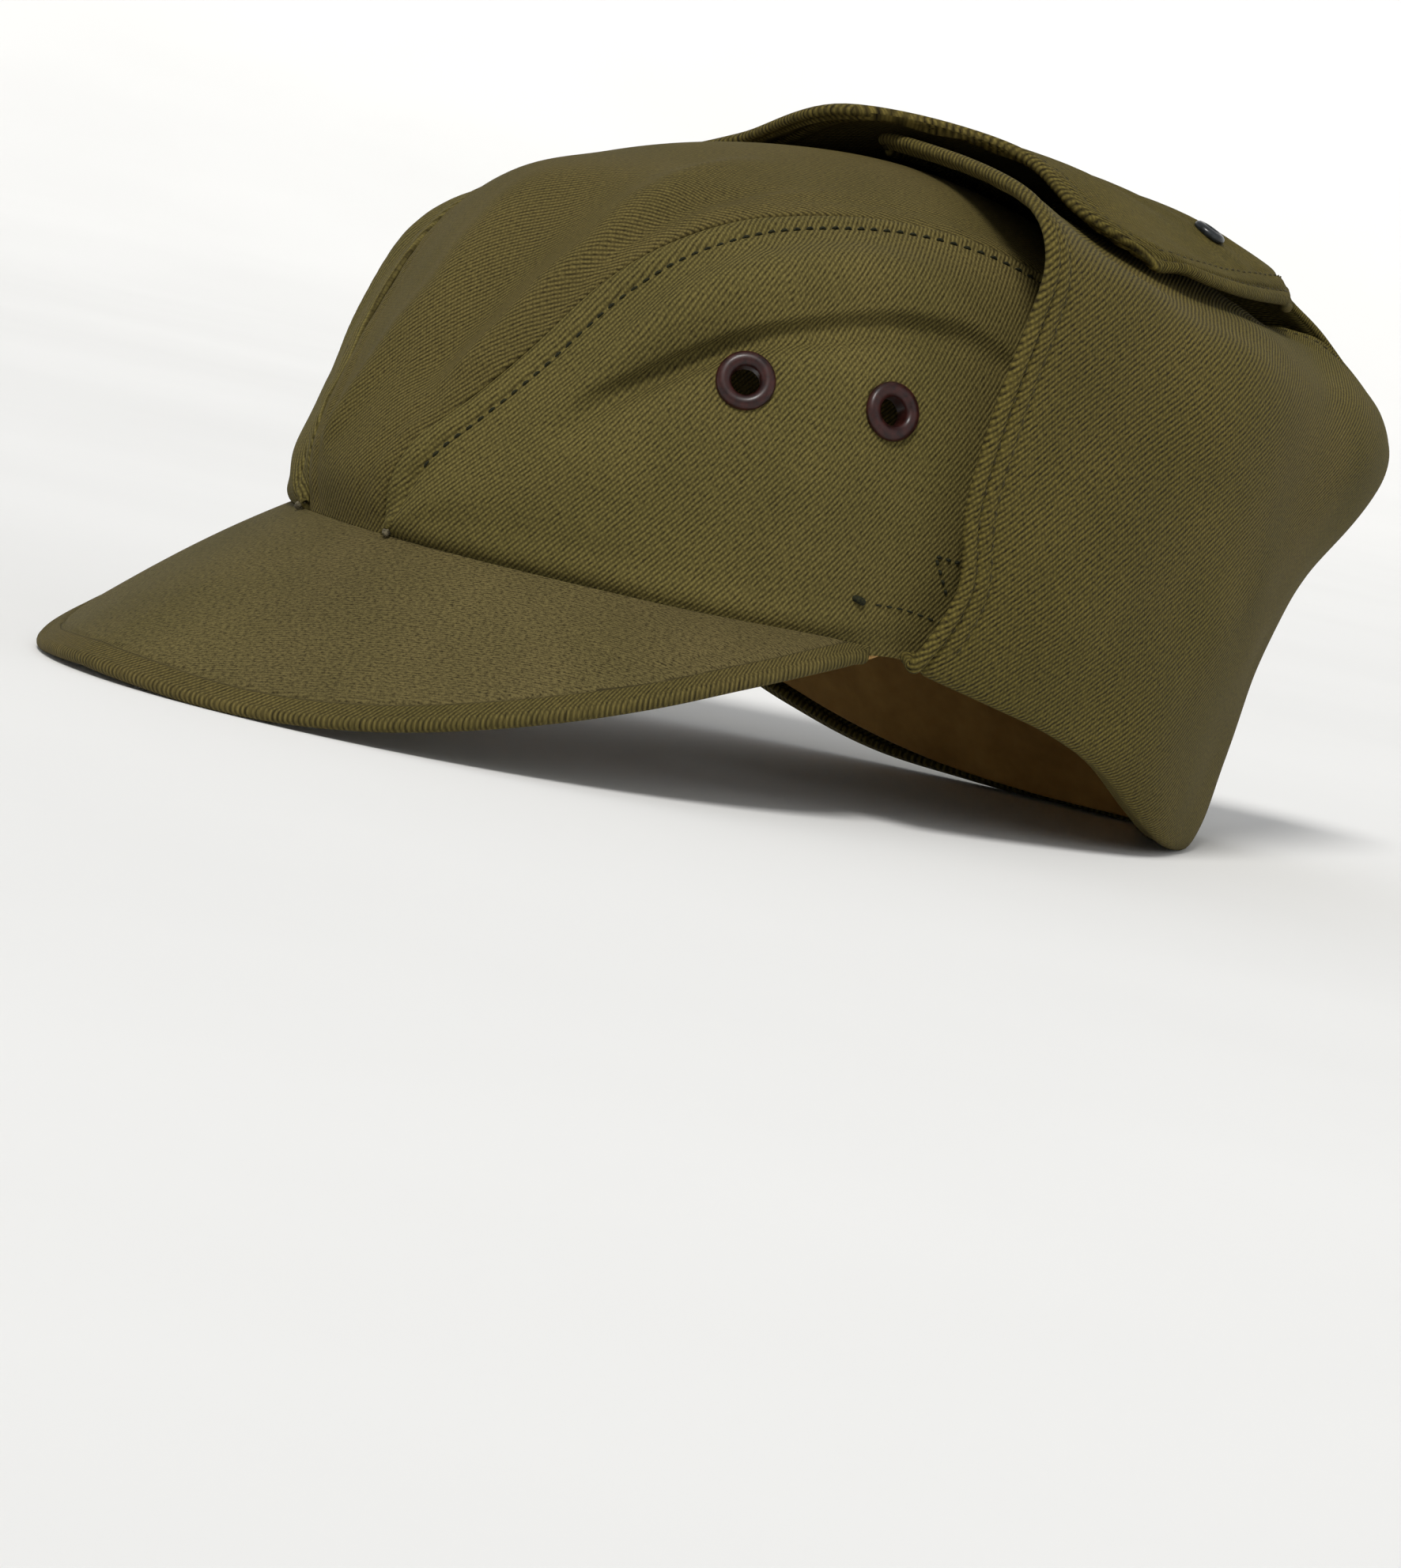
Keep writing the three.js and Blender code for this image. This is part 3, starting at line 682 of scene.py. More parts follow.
def twill(name, dark, light, angle, pitch, depth, contrast=1.0):
    """Olive twill: diagonal ribs of short floats, mottled by its yarns, and blotched by wear."""
    material, tree, shader = new_material(name)
    place, u, v = flat_place(tree)
    # The ribs wander a little, and short floats cross them
    drift = times(tree, noise(tree, place, 60.0), 3.0)
    wobble = plus(tree, drift, times(tree, noise(tree, place, 500.0), 1.6))
    ribs = bands(tree, u, v, angle, pitch, wobble)
    floats = bands(tree, u, v, angle + 68, pitch * 0.85, wobble)
    woven = times(tree, ribs, maths(tree, "MULTIPLY_ADD", floats, 0.45, 0.55))
    # Yarns: noise drawn out along the ribs
    drawn_out = tree.nodes.new("ShaderNodeCombineXYZ")
    along = across_lines(tree, u, v, angle - 90)
    tree.links.new(times(tree, along, 0.45), drawn_out.inputs[0])
    tree.links.new(across_lines(tree, u, v, angle), drawn_out.inputs[1])
    yarns = noise(tree, drawn_out.outputs[0], 1900.0 / max(pitch, 0.7), 2.0, 0.65)
    tone = plus(tree, times(tree, woven, 0.5 * contrast), times(tree, yarns, 0.8))
    low, high = 0.28, 0.28 + 0.5 * contrast + 0.14
    middle = tuple((x + y) / 2 for x, y in zip(dark, light))
    cloth = ramp(tree, tone, [(low, dark), ((low + high) / 2, middle), (high, light)])
    # Wear: faded blotches and larger soiled patches
    blotch = noise(tree, place, 26.0, 4.0, 0.6)
    faded = ramp(tree, blotch, [(0.3, (0.86, 0.87, 0.84)), (0.7, (1.13, 1.12, 1.15))])
    patch = noise(tree, place, 9.0, 3.0, 0.55)
    soiled = ramp(tree, patch, [(0.35, (0.93, 0.95, 0.88)), (0.65, (1.06, 1.04, 1.1))])
    for wear in (faded, soiled):
        cloth = multiplied(tree, cloth, wear)
    dress(tree, shader, cloth, maths(tree, "MULTIPLY_ADD", yarns, 0.2, 0.78), {
        "Specular IOR Level": 0.15,
        "Sheen Weight": 0.08,
        "Sheen Roughness": 0.6,
        "Sheen Tint": (*light, 1),
    })
    emboss(tree, shader, plus(tree, woven, times(tree, yarns, 0.5)), 1.0, depth)
    return material


def leather(name, dark, light):
    """Smooth leather: fine grain, with worn places that are paler and duller."""
    material, tree, shader = new_material(name)
    place = flat_place(tree)[0]
    grain = tree.nodes.new("ShaderNodeTexVoronoi")
    tree.links.new(place, grain.inputs["Vector"])
    grain.inputs["Scale"].default_value = 1400.0
    worn = noise(tree, place, 60.0, 4.0, 0.6)
    tone = ramp(tree, worn, [(0.3, dark), (0.7, light)])
    dress(tree, shader, tone, maths(tree, "MULTIPLY_ADD", worn, 0.2, 0.42), {})
    emboss(tree, shader, grain.outputs["Distance"], 0.5, 0.08)
    return material


def spotted(name, dark, light, scale, stops, detail, rough, settings, strength):
    """A material whose colour, roughness and relief all follow one fine noise."""
    material, tree, shader = new_material(name)
    place = tree.nodes.new("ShaderNodeTexCoord").outputs["Object"]
    spots = noise(tree, place, scale, *detail)
    tone = ramp(tree, spots, [(stops[0], dark), (stops[1], light)])
    dress(tree, shader, tone, maths(tree, "MULTIPLY_ADD", spots, *rough), settings)
    emboss(tree, shader, spots, strength, 0.05)
    return material


def lacquer(name, dark, light, rough, coat):
    shine = {"Specular IOR Level": 0.3, "Coat Weight": coat, "Coat Roughness": 0.12}
    return spotted(name, dark, light, 500.0, (0.35, 0.72), (4.0, 0.65), (0.25, rough), shine, 0.35)


def thread(name, dark, light):
    shine = {"Sheen Weight": 0.03, "Specular IOR Level": 0.1}
    return spotted(name, dark, light, 2200.0, (0.3, 0.7), (2.0, 0.5), (0.2, 0.6), shine, 0.6)


crown_cloth = twill("crown_twill", colour(43, 36, 13), colour(113, 102, 56), 50, 0.88, 0.14)
strip_cloth = twill("strip_twill", colour(38, 31, 11), colour(110, 98, 54), 54, 0.78, 0.15)
flap_cloth = twill("flap_twill", colour(27, 21, 5), colour(110, 98, 48), 50, 1.02, 0.17)
peak_cloth = twill("peak_twill", colour(44, 37, 17), colour(98, 88, 53), 45, 0.5, 0.07, 0.22)
edge_cloth = twill("edge_twill", colour(38, 32, 11), colour(103, 92, 50), 58, 0.9, 0.15)
band_leather = leather("ochre_leather", colour(150, 108, 46), colour(196, 152, 78))
eyelet_lacquer = lacquer("brown_lacquer", colour(26, 9, 8), colour(58, 24, 19), 0.26, 0.08)
stud_lacquer = lacquer("dark_lacquer", colour(16, 19, 21), colour(44, 50, 52), 0.25, 0.3)
green_thread = thread("green_thread", colour(20, 21, 11), colour(42, 42, 24))
olive_thread = thread("olive_thread", colour(42, 37, 18), colour(76, 69, 40))
grey_thread = thread("grey_thread", colour(50, 46, 34), colour(118, 110, 88))


def keep_piece(obj, nodes=()):
    """A visible piece of the cap and the nodes it stands for."""
    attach(obj, "root")
    if nodes:
        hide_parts(*nodes)
    return obj


# Crown top: one strip of cloth

def crown_top_grids():
    across_places = np.linspace(-1, 1, STRIP_COLUMNS)
    tau, u = np.meshgrid(np.linspace(0, 1, STRIP_ROWS), across_places, indexing="ij")
    hem = 1 - SEAM_GAP / through(CROWN, tau)[..., 2]
    outer = strip(tau, u * hem)
    normals = grid_normals(outer)
    middle = slice(STRIP_COLUMNS // 2, STRIP_COLUMNS // 2 + 1)
    along = lengths(outer, 0)[:, middle] * np.ones_like(u)
    across = lengths(outer, 1)
    across = across - across[:, middle]
    to_seam = lengths(outer, 1)[:, -1:] / 2 - np.abs(across)
    swell = undulate(across, along, 11, 46.0, 0.3)
    for height, width, taus_on, us_on in STRIP_FOLDS:
        line = np.interp(tau, taus_on, us_on)
        shown = smooth((tau - taus_on[0] + 0.03) / 0.06) * smooth((taus_on[-1] + 0.03 - tau) / 0.06)
        swell += height * shown * bump(u, line, width)
    # The far half of the front falls away from the crest
    swell += -1.7 * smooth((-u - 0.25) / 0.5) * bump(tau, 0.34, 0.09)
    swell += relief(to_seam, *STRIP_PUCKER) * pucker(along, 1.35, 1.4, 11)
    swell += relief(to_seam, *STRIP_RIDGE) + relief(to_seam, *STRIP_GROOVE)
    fade = smooth(along / 8)
    outer = outer + normals * (swell * fade)[..., None]
    inner = outer - normals * CLOTH
    return [outer, inner, laid_flat(outer, np.stack([across, along], -1))]


grids = crown_top_grids()
for edge_name in ("first_column", "last_column"):
    grids = rounded(grids, edge_name)
crown_top = keep_piece(add_sheet("cap_top_strip", grids, [strip_cloth]), ["crown_top"])


# Side panels

def side_grids():
    taus = np.linspace(FIRST_SIDE, LAST_SIDE, SIDE_ROWS)
    dense = np.linspace(0, 1, SIDE_MEASURES)
    tau, w = np.meshgrid(taus, dense, indexing="ij")
    run = lengths(side(tau, w), 1)
    share = np.linspace(0, 1, SIDE_COLUMNS)
    places = np.empty((len(taus), len(share)))
    for i in range(len(taus)):
        total = run[i, -1]
        start = min(SEAM_GAP, 0.2 * total)
        places[i] = np.interp(start + share * (total - start), run[i], dense)
    tau = taus[:, None] * np.ones_like(places)
    outer = side(tau, places)
    normals = grid_normals(outer)
    from_seam = lengths(outer, 1)
    total = from_seam[:, -1:]
    from_foot = total - from_seam
    t = np.radians(through(CROWN, tau)[..., 5])
    open_front = (1 - under_flap(t)) * smooth((tau - FIRST_SIDE) / 0.035)
    size = smooth(total / 18)
    along = lengths(outer, 0)
    run_along, foot_along = along[:, 4:5], along[:, -1:]
    swell = relief(from_seam, *SIDE_RIDGE) + relief(from_seam, *SIDE_GROOVE)
    swell += relief(from_seam, *SIDE_PUCKER) * pucker(run_along, 1.2, 1.5, 9)
    line = np.interp(tau, CREASE[0], CREASE[1])
    shown = smooth((tau - 0.3) / 0.1) * smooth((0.63 - tau) / 0.09)
    roll = smooth((places - 0.1) / 0.15) * (1 - smooth((places - line + 0.02) / 0.037))
    swell += 2.4 * shown * roll - 1.3 * shown * bump(places, line + 0.04, 0.03)
    # Slack towards the front corner: a soft roll and hollow that fan out from it
    fan = smooth((0.34 - tau) / 0.1)
    swell += 0.7 * fan * bump(places, 0.62, 0.13) - 0.7 * fan * bump(places, 0.3, 0.14)
    swell += open_front * (relief(from_foot, *FOOT_ROLL) + relief(from_foot, *FOOT_EDGE))
    swell += open_front * relief(from_foot, *FOOT_PUCKER) * np.sin(foot_along / 1.6)
    # Flat cloth: the foot is laid out along its own line and each section rises from it
    base = outer[:, -1]
    heading = unit(np.gradient(base * IN_PLAN, axis=0))
    rise = outer[:, 0] - base
    tangential = np.sum(rise * heading, -1)
    other = np.sqrt(np.maximum(np.sum(rise ** 2, -1) - tangential ** 2, 1e-9))
    way = unit(np.stack([tangential, other], -1))
    base_run = lengths(base[:, None] * IN_PLAN, 0)[:, 0]
    flat_u = base_run[:, None] + from_foot * way[:, :1]
    flat_v = base[:, 2:3] + from_foot * way[:, 1:]
    calm = np.ones_like(places)
    for place in EYELETS.values():
        seat = vent_seat(place)[0]
        calm *= 1 - np.exp(-np.sum((outer - seat) ** 2, -1) / 90)
    swell += undulate(flat_u, flat_v, 23, 40.0, 0.4) * size * calm
    # A soft hollow above the foot, towards the front
    swell += -0.7 * open_front * size * bump(from_foot, 16, 8) * bump(tau, 0.3, 0.12)
    outer = outer + normals * (swell * size)[..., None]
    normals = grid_normals(outer)
    flat = laid_flat(outer, np.stack([flat_u, flat_v], -1))
    flat_u, flat_v = flat[..., 0], flat[..., 1]
    # Skirt behind the peak and under the flap's fold
    foot = outer[:, -1]
    into = -unit(foot * IN_PLAN)
    foot_t = t[:, -1]
    tucked = smooth((foot_t - math.radians(84)) / math.radians(14))
    depth = (SKIRT + 0.6) - 0.7 * under_flap(foot_t) - 2.8 * tucked
    down = np.array([0, 0, -1.0]) * depth[:, None]
    skirts, skirts_flat = [], []
    for k in (0.35, 0.7, 1.0):
        skirts.append(foot + down * k + into * 0.5 * k)
        skirts_flat.append(np.stack([flat_u[:, -1], flat_v[:, -1] - depth * k], -1))
    outer = np.concatenate([outer, np.stack(skirts, 1)], 1)
    flat = np.concatenate([np.stack([flat_u, flat_v], -1), np.stack(skirts_flat, 1)], 1)
    inward = unit(-normals[:, -1] * IN_PLAN)
    inner = outer.copy()
    inner[:, :SIDE_COLUMNS] = outer[:, :SIDE_COLUMNS] - normals * CLOTH
    inner[:, SIDE_COLUMNS - 1:] = outer[:, SIDE_COLUMNS - 1:] + inward[:, None] * CLOTH
    return taus, places, [outer, inner, flat], normals, from_seam


side_taus, side_places, plain_grids, side_normals, side_from_seam = side_grids()


def with_holes(grids):
    """The panel with the edge of each vent hole drawn to a circle, and which faces stay."""
    outer, inner, flat = [g.copy() for g in grids]
    keep = np.ones((outer.shape[0] - 1, outer.shape[1] - 1), bool)
    for place in EYELETS.values():
        seat, axis = vent_seat(place)
        spot = outer - seat
        away = np.linalg.norm(spot - np.sum(spot * axis, -1, keepdims=True) * axis, axis=-1)
        away = np.where(np.linalg.norm(spot, axis=-1) < 12, away, 99.0)
        centre = (away[:-1, :-1] + away[1:, :-1] + away[:-1, 1:] + away[1:, 1:]) / 4
        gone = centre < VENT_RADIUS + 0.35
        keep &= ~gone
        framed = np.pad(gone, 1)
        round_point = [framed[1:, 1:], framed[1:, :-1], framed[:-1, 1:], framed[:-1, :-1]]
        rim = np.any(round_point, axis=0) & ~np.all(round_point, axis=0)
        for grid in (outer, inner):
            spot = grid - seat
            depth = np.sum(spot * axis, -1, keepdims=True) * axis
            radial = spot - depth
            size = np.linalg.norm(radial, axis=-1, keepdims=True)
            drawn = seat + depth + radial / np.maximum(size, 1e-6) * VENT_RADIUS
            grid[rim] = drawn[rim]
    return [outer, inner, flat], keep


holed, kept_faces = with_holes(plain_grids)


def finish_side(name, mirror, node):
    pad = np.ones((kept_faces.shape[0], kept_faces.shape[1] + ROUND_STEPS), bool)
    pad[:, ROUND_STEPS:] = kept_faces
    grids = rounded(holed, "first_column")
    obj = add_sheet(name, grids, [crown_cloth], keep=pad, mirror=mirror)
    return keep_piece(obj, [node])


side_left = finish_side("cap_side_left", False, "side_panel_left")
side_right = finish_side("cap_side_right", True, "side_panel_right")


# Peak

def peak_grids():
    a = np.linspace(-1, 1, PEAK_ROWS)
    a = 0.6 * a + 0.4 * np.sin(a * math.pi / 2)
    b = np.concatenate([np.linspace(0, 0.9, 46), np.linspace(0.9, 1, 22)[1:]])
    a, b = np.meshgrid(a, b, indexing="ij")
    span = np.linalg.norm(peak(a, np.ones_like(b)) - peak(a, np.zeros_like(b)), axis=-1)
    b = b * (1 - np.minimum(PEAK_THICKNESS / 2, 0.35 * span) / span)
    outer = peak(a, b)
    inner = outer - np.array([0, 0, PEAK_THICKNESS])
    normals = grid_normals(outer)
    from_edge = lengths(outer, 1)[:, -1:] - lengths(outer, 1)
    swell = 0.3 * smooth((PEAK_BAND - from_edge) / 0.8) - 0.28 * bump(from_edge, 4.1, 0.5)
    pressed_a = [0.468, 0.54, 0.615, 0.66, 0.708, 0.77, 0.812, 0.855]
    pressed_b = [0.078, 0.33, 0.536, 0.66, 0.716, 0.56, 0.318, 0.0]
    line_b = np.interp(np.abs(a), pressed_a, pressed_b)
    on_line = (np.abs(a) > 0.47) & (np.abs(a) < 0.85)
    swell += np.where(on_line, -0.32 * bump((b - line_b) * span, 0, 0.7), 0)
    swell += undulate(outer[..., 0], outer[..., 1], 37, 60.0, 0.25)
    swell *= smooth(span / 10)
    outer = outer + normals * swell[..., None]
    run = lengths(outer, 0)[:, -1:] * np.ones_like(b)
    on_band = (from_edge < PEAK_BAND)[..., None]
    flat = np.where(on_band, np.stack([run, from_edge], -1), outer[..., :2])
    return [outer, inner, flat], from_edge


grids, peak_from_edge = peak_grids()
on_band = peak_from_edge[:-1, :-1] < PEAK_BAND
edge_faces = np.ones((on_band.shape[0], on_band.shape[1] + PEAK_ROUND_STEPS), bool)
edge_faces[:, :on_band.shape[1]] = on_band
grids = rounded(grids, "last_column", PEAK_ROUND_STEPS)
cap_peak = add_sheet("cap_peak", grids, [peak_cloth, edge_cloth], second=edge_faces)
keep_piece(cap_peak, ["peak"])


# Neck flaps

def joined_spans(ends, counts):
    """Places from the first end to the last, with a count of even steps in each span."""
    spans = zip(ends[:-1], ends[1:], counts)
    places = [np.linspace(start, end, count, endpoint=False) for start, end, count in spans]
    return np.append(np.concatenate(places), ends[-1])


def flap_grids(rows, seed, lift):
    hem = 1 / (len(rows) - 1)
    levels = joined_spans([0, hem, 0.95, 1], [8, 135, 30])
    s = joined_spans([0, 0.1, 0.93, 1.0], [21, 111, 13])
    level, along = np.meshgrid(levels, s, indexing="ij")
    outer = flap(rows, level, along)
    outer[..., 0] -= BACK_CLOSING * smooth((along - 0.9) / 0.1)
    normals = grid_normals(outer)
    from_edge = lengths(outer, 1)
    v = lengths(outer, 0)
    from_end = v[-1:] - v
    from_back = from_edge[:, -1:] - from_edge
    upright = smooth((level - hem) / 0.08)
    rim = 1 / (1 / np.maximum(from_edge, 0.05) ** 4 + 1 / np.maximum(from_end, 0.05) ** 4) ** 0.25
    swell = 0.4 * smooth((6.6 - rim) / 1.0) * upright
    swell += relief(rim, *RIM_ROLL) + relief(rim, *RIM_NEAR_GROOVE)
    swell += (relief(rim, *RIM_RIDGE) + relief(rim, *RIM_FAR_GROOVE)) * upright
    sewn_back = smooth((from_end - 4) / 9)
    swell += relief(rim, *RIM_PUCKER) * pucker(v, 1.9, 1, 13) * upright * sewn_back
    calm = smooth(from_edge / 12) * smooth(from_end / 10) * smooth(v / 14) * smooth(from_back / 10)
    swell += undulate(from_edge, v, seed, 62.0, 1.0) * calm
    swell += undulate(from_edge, v, seed + 1, 26.0, 0.18) * calm
    # The rolled rims run out before they meet in the corners
    swell *= 1 - 0.9 * bump(from_edge, 0, 6) * bump(from_end, 0, 6)
    swell *= 1 - 0.95 * bump(from_back, 0, 9) * bump(from_end, 0, 9)
    # Centre-back seam: a low welt with its stitched groove beside it
    swell += (relief(from_back, *BACK_WELT) + relief(from_back, *BACK_GROOVE)) * sewn_back
    # Crease beside the seam and a dimple where the pointed back tucks in above the nape
    swell += relief(from_back, *BACK_CREASE) * smooth((v - 10) / 14) * smooth((66 - v) / 16)
    swell += -2.6 * bump(v, 38, 9) * bump(from_back, 9, 5)
    lifted = (0.4 + 0.6 * smooth(along / 0.2)) * smooth((0.99 - along) / 0.1)
    swell += lift * bump(from_end, 0, 11.0) * lifted
    outer = outer + normals * swell[..., None]
    normals = grid_normals(outer)
    thick = CLOTH + 0.7 * bump(rim, 0, 3.0)
    inner = outer - normals * thick[..., None]
    flat = laid_flat(outer, np.stack([from_edge, v], -1))
    return [outer, inner, flat], (levels, s, outer, normals)


def finish_flap(name, rows, seed, mirror, node, lift):
    """Makes a flap, and also gives its places, points and normals for what is sewn on it."""
    grids, surface = flap_grids(rows, seed, lift)
    for edge_name in ("first_column", "last_column", "last_row", "first_row"):
        grids = rounded(grids, edge_name)
    obj = add_sheet(name, grids, [flap_cloth], mirror=mirror)
    return keep_piece(obj, [node]), surface


flap_left, surface_left = finish_flap(
    "cap_flap_left", UNDER_FLAP, 41, False, "neck_flap_left", 0.0)
flap_right, surface_right = finish_flap(
    "cap_flap_right", OVER_FLAP, 53, True, "neck_flap_right", 2.2)


# Sweatband

def band_grids():
    t = np.linspace(-math.pi, math.pi, BAND_ROWS, endpoint=False)
    h = np.linspace(0, BAND_HEIGHT, BAND_COLUMNS)
    t, h = np.meshgrid(t, h, indexing="ij")
    outer = sweatband(t, h)
    way = unit(outer * IN_PLAN)
    inner = outer - way * BAND_THICKNESS
    inner = inner + way * (0.25 * bump(h, 3.0, 0.5))[..., None]
    return [outer, inner, np.stack([t * BAND_RUN, h], -1)]


grids = band_grids()
for edge_name in ("first_column", "last_column"):
    grids = rounded(grids, edge_name)
band = add_sheet("cap_sweatband", grids, [band_leather], ring=True)
keep_piece(band, ["sweatband"])


# Eyelets and stud

def turned_piece(name, profile, foot, way, material, mirror):
    """Round piece turned about its own axis from a closed profile of radius and height."""
    foot = rest(flipped(foot, mirror))
    axis = unit(turned(flipped(way, mirror)))
    first = unit(np.cross(axis, np.array([0.0, 0.0, 1.0])))
    second = np.cross(axis, first)
    points = []
    for k in range(TURNED_SIDES):
        angle = 2 * math.pi * k / TURNED_SIDES
        out = first * math.cos(angle) + second * math.sin(angle)
        points += [(foot + out * radius + axis * height) * MM for radius, height in profile]
    faces = ring_faces(TURNED_SIDES, len(profile), closed=True)
    return add_mesh(name, points, faces, [material], sharp=60)


def eyelet_profile():
    """Rolled front flange, barrel and curled back edge."""
    points = []
    for k in range(13):
        angle = math.pi * k / 12
        radius = 4.35 + 1.5 * math.cos(math.pi - angle)
        points.append([radius, 0.35 + 1.15 * math.sin(angle)])
    outer = [[5.85, 0.1], [3.5, 0.1], [3.5, -2.3], [4.6, -2.35]]
    curl = [[4.85, -2.6], [4.6, -2.95], [3.6, -3.1], [2.95, -2.9]]
    return points + outer + curl + [[2.85, 0.0]]


for end, place in EYELETS.items():
    seat, axis = vent_seat(place)
    for side_name, mirror in SIDES:
        node = f"eyelet_{side_name}_{end}"
        obj = turned_piece(f"cap_{node}", eyelet_profile(), seat, axis, eyelet_lacquer, mirror)
        keep_piece(obj, [node])


def place_on(surface, level, along):
    """Point and normal of a flap at a level and a place along it."""
    levels, s, outer, normals = surface
    i = np.interp(level, levels, np.arange(len(levels)))
    j = np.interp(along, s, np.arange(len(s)))
    return read_at(outer, normals, i, j)


# Closed profile of the stud, radius and height: a flange, a domed ring and a sunk middle
STUD_PROFILE = [
    [0.0001, -0.2], [3.3, -0.2], [3.6, 0.1], [3.7, 0.6], [3.5, 1.1], [3.0, 1.45],
    [2.3, 1.62], [1.9, 1.55], [1.6, 1.25], [0.9, 1.1], [0.0001, 1.08],
]
stud_foot, stud_way = place_on(surface_right, *STUD_PLACE)
stud = turned_piece("cap_stud", STUD_PROFILE, stud_foot, stud_way, stud_lacquer, True)
keep_piece(stud, ["flap_stud"])


# Stitching

def side_at(taus, measure, values):
    """Points and normals on the left side panel, where a measure down it has given values."""
    outer = plain_grids[0][:, :SIDE_COLUMNS]
    columns = np.arange(SIDE_COLUMNS)
    i = np.interp(taus, side_taus, np.arange(SIDE_ROWS))
    j = np.array([np.interp(value, measure[int(round(k))], columns) for k, value in zip(i, values)])
    return read_at(outer, side_normals, i, j)


stitches = {"left": [], "right": []}
seam_taus = np.linspace(0.17, 0.97, 400)
path, ways = side_at(seam_taus, side_from_seam, np.full(len(seam_taus), SEAM_STITCH))
for side_name, mirror in SIDES:
    obj = stitch_row(f"stitches_seam_{side_name}", path, ways, green_thread, 2.0, 0.8, 0.3, mirror)
    stitches[side_name].append(keep_piece(obj))


def flap_rows(name, surface, mirror):
    """Rows of stitches along the front edge, the centre back and the end of a flap."""
    levels, s, outer, normals = surface
    rows, columns = np.arange(len(levels)), np.arange(len(s))
    u, v = lengths(outer, 1), lengths(outer, 0)
    from_end = v[-1:] - v
    found = {}
    i = rows[int(np.searchsorted(levels, 0.12)):]
    for label, distance in FLAP_STITCHES.items():
        j = np.array([np.interp(distance, u[k], columns) for k in i])
        inside = sample(from_end[..., None], i, j)[:, 0] > distance
        found[f"edge_{label}"] = read_at(outer, normals, i[inside], j[inside])
    i = i[from_end[i, -1] > 12]
    j = np.array([np.interp(u[k, -1] - BACK_STITCH, u[k], columns) for k in i])
    found["back"] = read_at(outer, normals, i, j)
    j = columns[:-8]
    for label, distance in FLAP_STITCHES.items():
        i = np.array([np.interp(v[-1, k] - distance, v[:, k], rows) for k in j])
        inside = sample(u[..., None], i, j)[:, 0] > distance
        found[f"end_{label}"] = read_at(outer, normals, i[inside], j[inside])
    pieces = []
    for label, (path, ways) in found.items():
        full_name = f"stitches_{name}_{label}"
        obj = stitch_row(full_name, path, ways, olive_thread, 2.1, 1.0, 0.2, mirror)
        pieces.append(keep_piece(obj))
    return pieces


rows_left = flap_rows("flap_left", surface_left, False)
rows_right = flap_rows("flap_right", surface_right, True)


def sewn_line(name, mirror, taus, ws, material, stitch):
    run = np.linspace(0, 1, 60)
    knots = np.linspace(0, 1, len(taus))
    path, ways = side_at(np.interp(run, knots, taus), side_places, np.interp(run, knots, ws))
    obj = stitch_row(name, path, ways, material, *stitch, mirror)
    return keep_piece(obj)


# Lines sewn on each side panel: places along and down it, thread, stitch length, gap and radius
SEWN_LINES = {
    "bar_tack": [
        [0.476625, 0.487625], [0.925, 0.943], green_thread, (4.0, 0.2, 0.75)],
    "stitches_foot": [
        [0.49, 0.5171875, 0.5425], [0.94, 0.944, 0.945], green_thread, (1.8, 0.7, 0.2)],
    "stitches_box": [
        [0.541, 0.540, 0.522, 0.535], [0.856, 0.828, 0.832, 0.92], green_thread, (1.5, 0.6, 0.32)],
    "knot_front": [
        [FIRST_SIDE + 0.002, FIRST_SIDE + 0.016], [0.8, 0.84], grey_thread, (3.0, 0.2, 0.75)],
}
for side_name, mirror in SIDES:
    for label, line in SEWN_LINES.items():
        stitches[side_name].append(sewn_line(f"{label}_{side_name}", mirror, *line))


# Floor: a wide shallow dish in metres, so that it has no edge from any side

FLOOR_PROFILE = [
    (0.5, 0), (1.2, 0), (2.2, 0), (2.6, 0.03), (3.0, 0.14), (3.4, 0.36),
    (3.8, 0.72), (4.1, 1.2), (4.3, 1.8),
]


def studio_floor():
    points = [(0.0, 0.0, 0.0)]
    for radius, height in FLOOR_PROFILE:
        for k in range(FLOOR_SIDES):
            angle = 2 * math.pi * k / FLOOR_SIDES
            points.append((radius * math.cos(angle), radius * math.sin(angle), height))
    faces = [(0, 1 + k, 1 + (k + 1) % FLOOR_SIDES) for k in range(FLOOR_SIDES)]
    faces += ring_faces(len(FLOOR_PROFILE), FLOOR_SIDES, 1)
    material, tree, shader = new_material("pale_floor")
    place = tree.nodes.new("ShaderNodeTexCoord").outputs["Object"]
    cloud = noise(tree, place, 3.0, 3.0)
    tone = ramp(tree, cloud, [(0.3, (0.80, 0.80, 0.79)), (0.7, (0.84, 0.84, 0.83))])
    tree.links.new(tone, shader.inputs["Base Color"])
    shader.inputs["Roughness"].default_value = 0.9
    add_mesh("studio_floor", points, faces, [material])


studio_floor()


# Light

LIT_POINT = Vector((0, 0, 0.06))


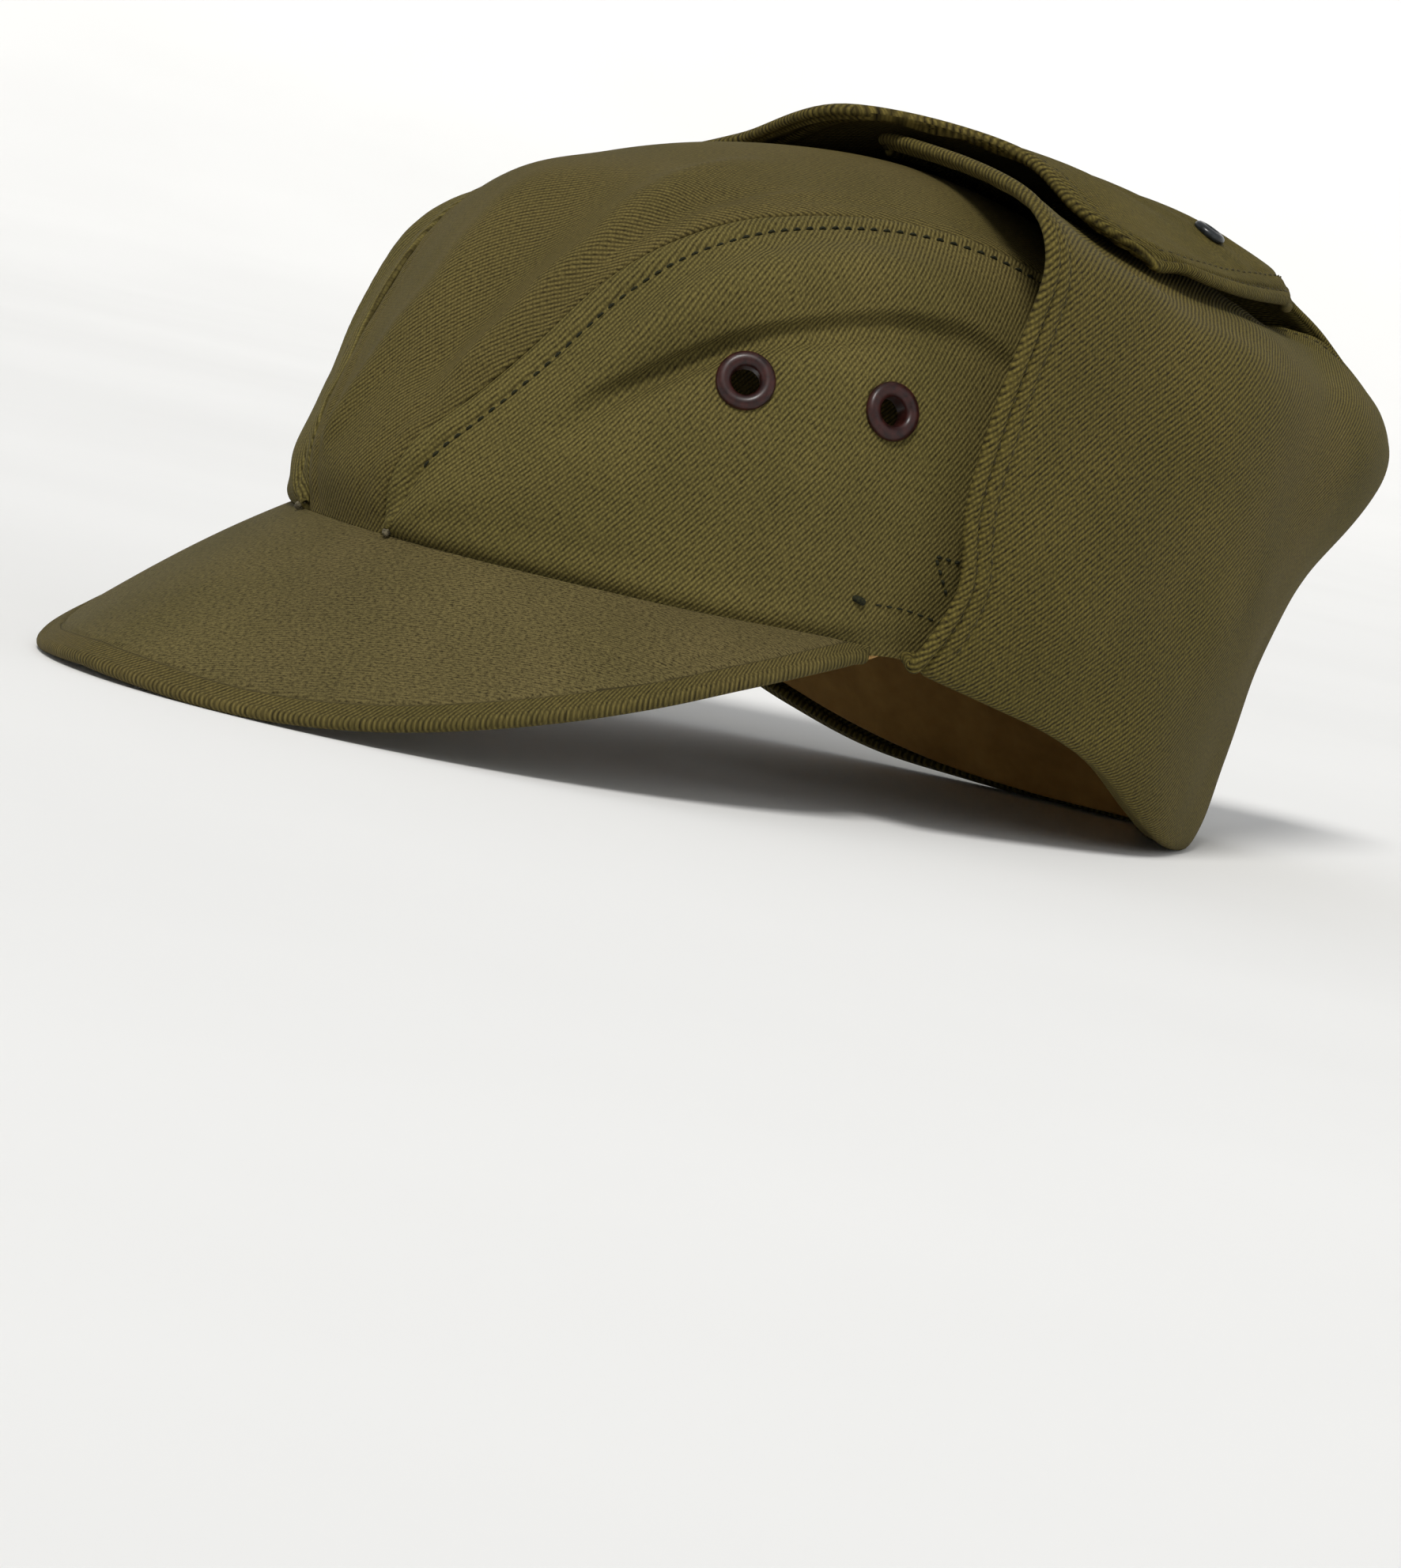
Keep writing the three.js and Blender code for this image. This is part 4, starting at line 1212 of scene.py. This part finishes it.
def direction(azimuth, elevation):
    """Unit vector at an azimuth round from the front, and at an elevation."""
    cos = math.cos(elevation)
    return np.array([math.sin(azimuth) * cos, -math.cos(azimuth) * cos, math.sin(elevation)])


def add_light(name, kind, place, turn, energy, tint):
    light = bpy.data.lights.new(name, kind)
    light.energy = energy
    light.color = tint
    obj = new_object(name, light)
    obj.location = place
    obj.rotation_euler = turn.to_euler()
    return light


toward_key = Vector(direction(math.radians(42), math.radians(50)))
key_turn = toward_key.to_track_quat("Z", "Y")
key = add_light("key", "SUN", toward_key * 2, key_turn, 2.4, (1.0, 0.985, 0.96))
key.angle = math.radians(16)

fill_place = Vector((1.9, 0.6, 1.0))
fill_turn = (LIT_POINT - fill_place).to_track_quat("-Z", "Y")
fill = add_light("fill", "AREA", fill_place, fill_turn, 3, (0.96, 0.98, 1.0))
fill.shape = "DISK"
fill.size = 1.6

world = bpy.data.worlds.new("studio")
world.use_nodes = True
background = world.node_tree.nodes["Background"]
background.inputs[0].default_value = (0.93, 0.94, 0.96, 1)
background.inputs[1].default_value = 0.45
bpy.context.scene.world = world
bpy.context.scene.view_settings.view_transform = "Standard"


# Camera at the photograph's angle

def add_camera():
    toward = direction(VIEW_AZIMUTH, VIEW_ELEVATION)
    right = np.array([math.cos(VIEW_AZIMUTH), math.sin(VIEW_AZIMUTH), 0.0])
    up = np.cross(toward, right)
    cos, sin = math.cos(VIEW_ROLL), math.sin(VIEW_ROLL)
    axes = np.array([right * cos + up * sin, up * cos - right * sin, toward])
    eye = toward * VIEW_DISTANCE + right * VIEW_ACROSS + up * VIEW_UP
    matrix = np.eye(4)
    matrix[:3, :3] = turned(axes).T
    matrix[:3, 3] = (turned(eye) + REST_MOVE) * MM
    camera = bpy.data.cameras.new("photo_camera")
    camera.sensor_fit = "HORIZONTAL"
    camera.sensor_width = SENSOR_WIDTH
    camera.lens = SENSOR_WIDTH * FOCAL_PIXELS / PHOTO_WIDTH
    camera.dof.use_dof = False
    obj = new_object("photo_camera", camera)
    obj.matrix_world = Matrix(matrix.tolist())
    bpy.context.scene.camera = obj


add_camera()
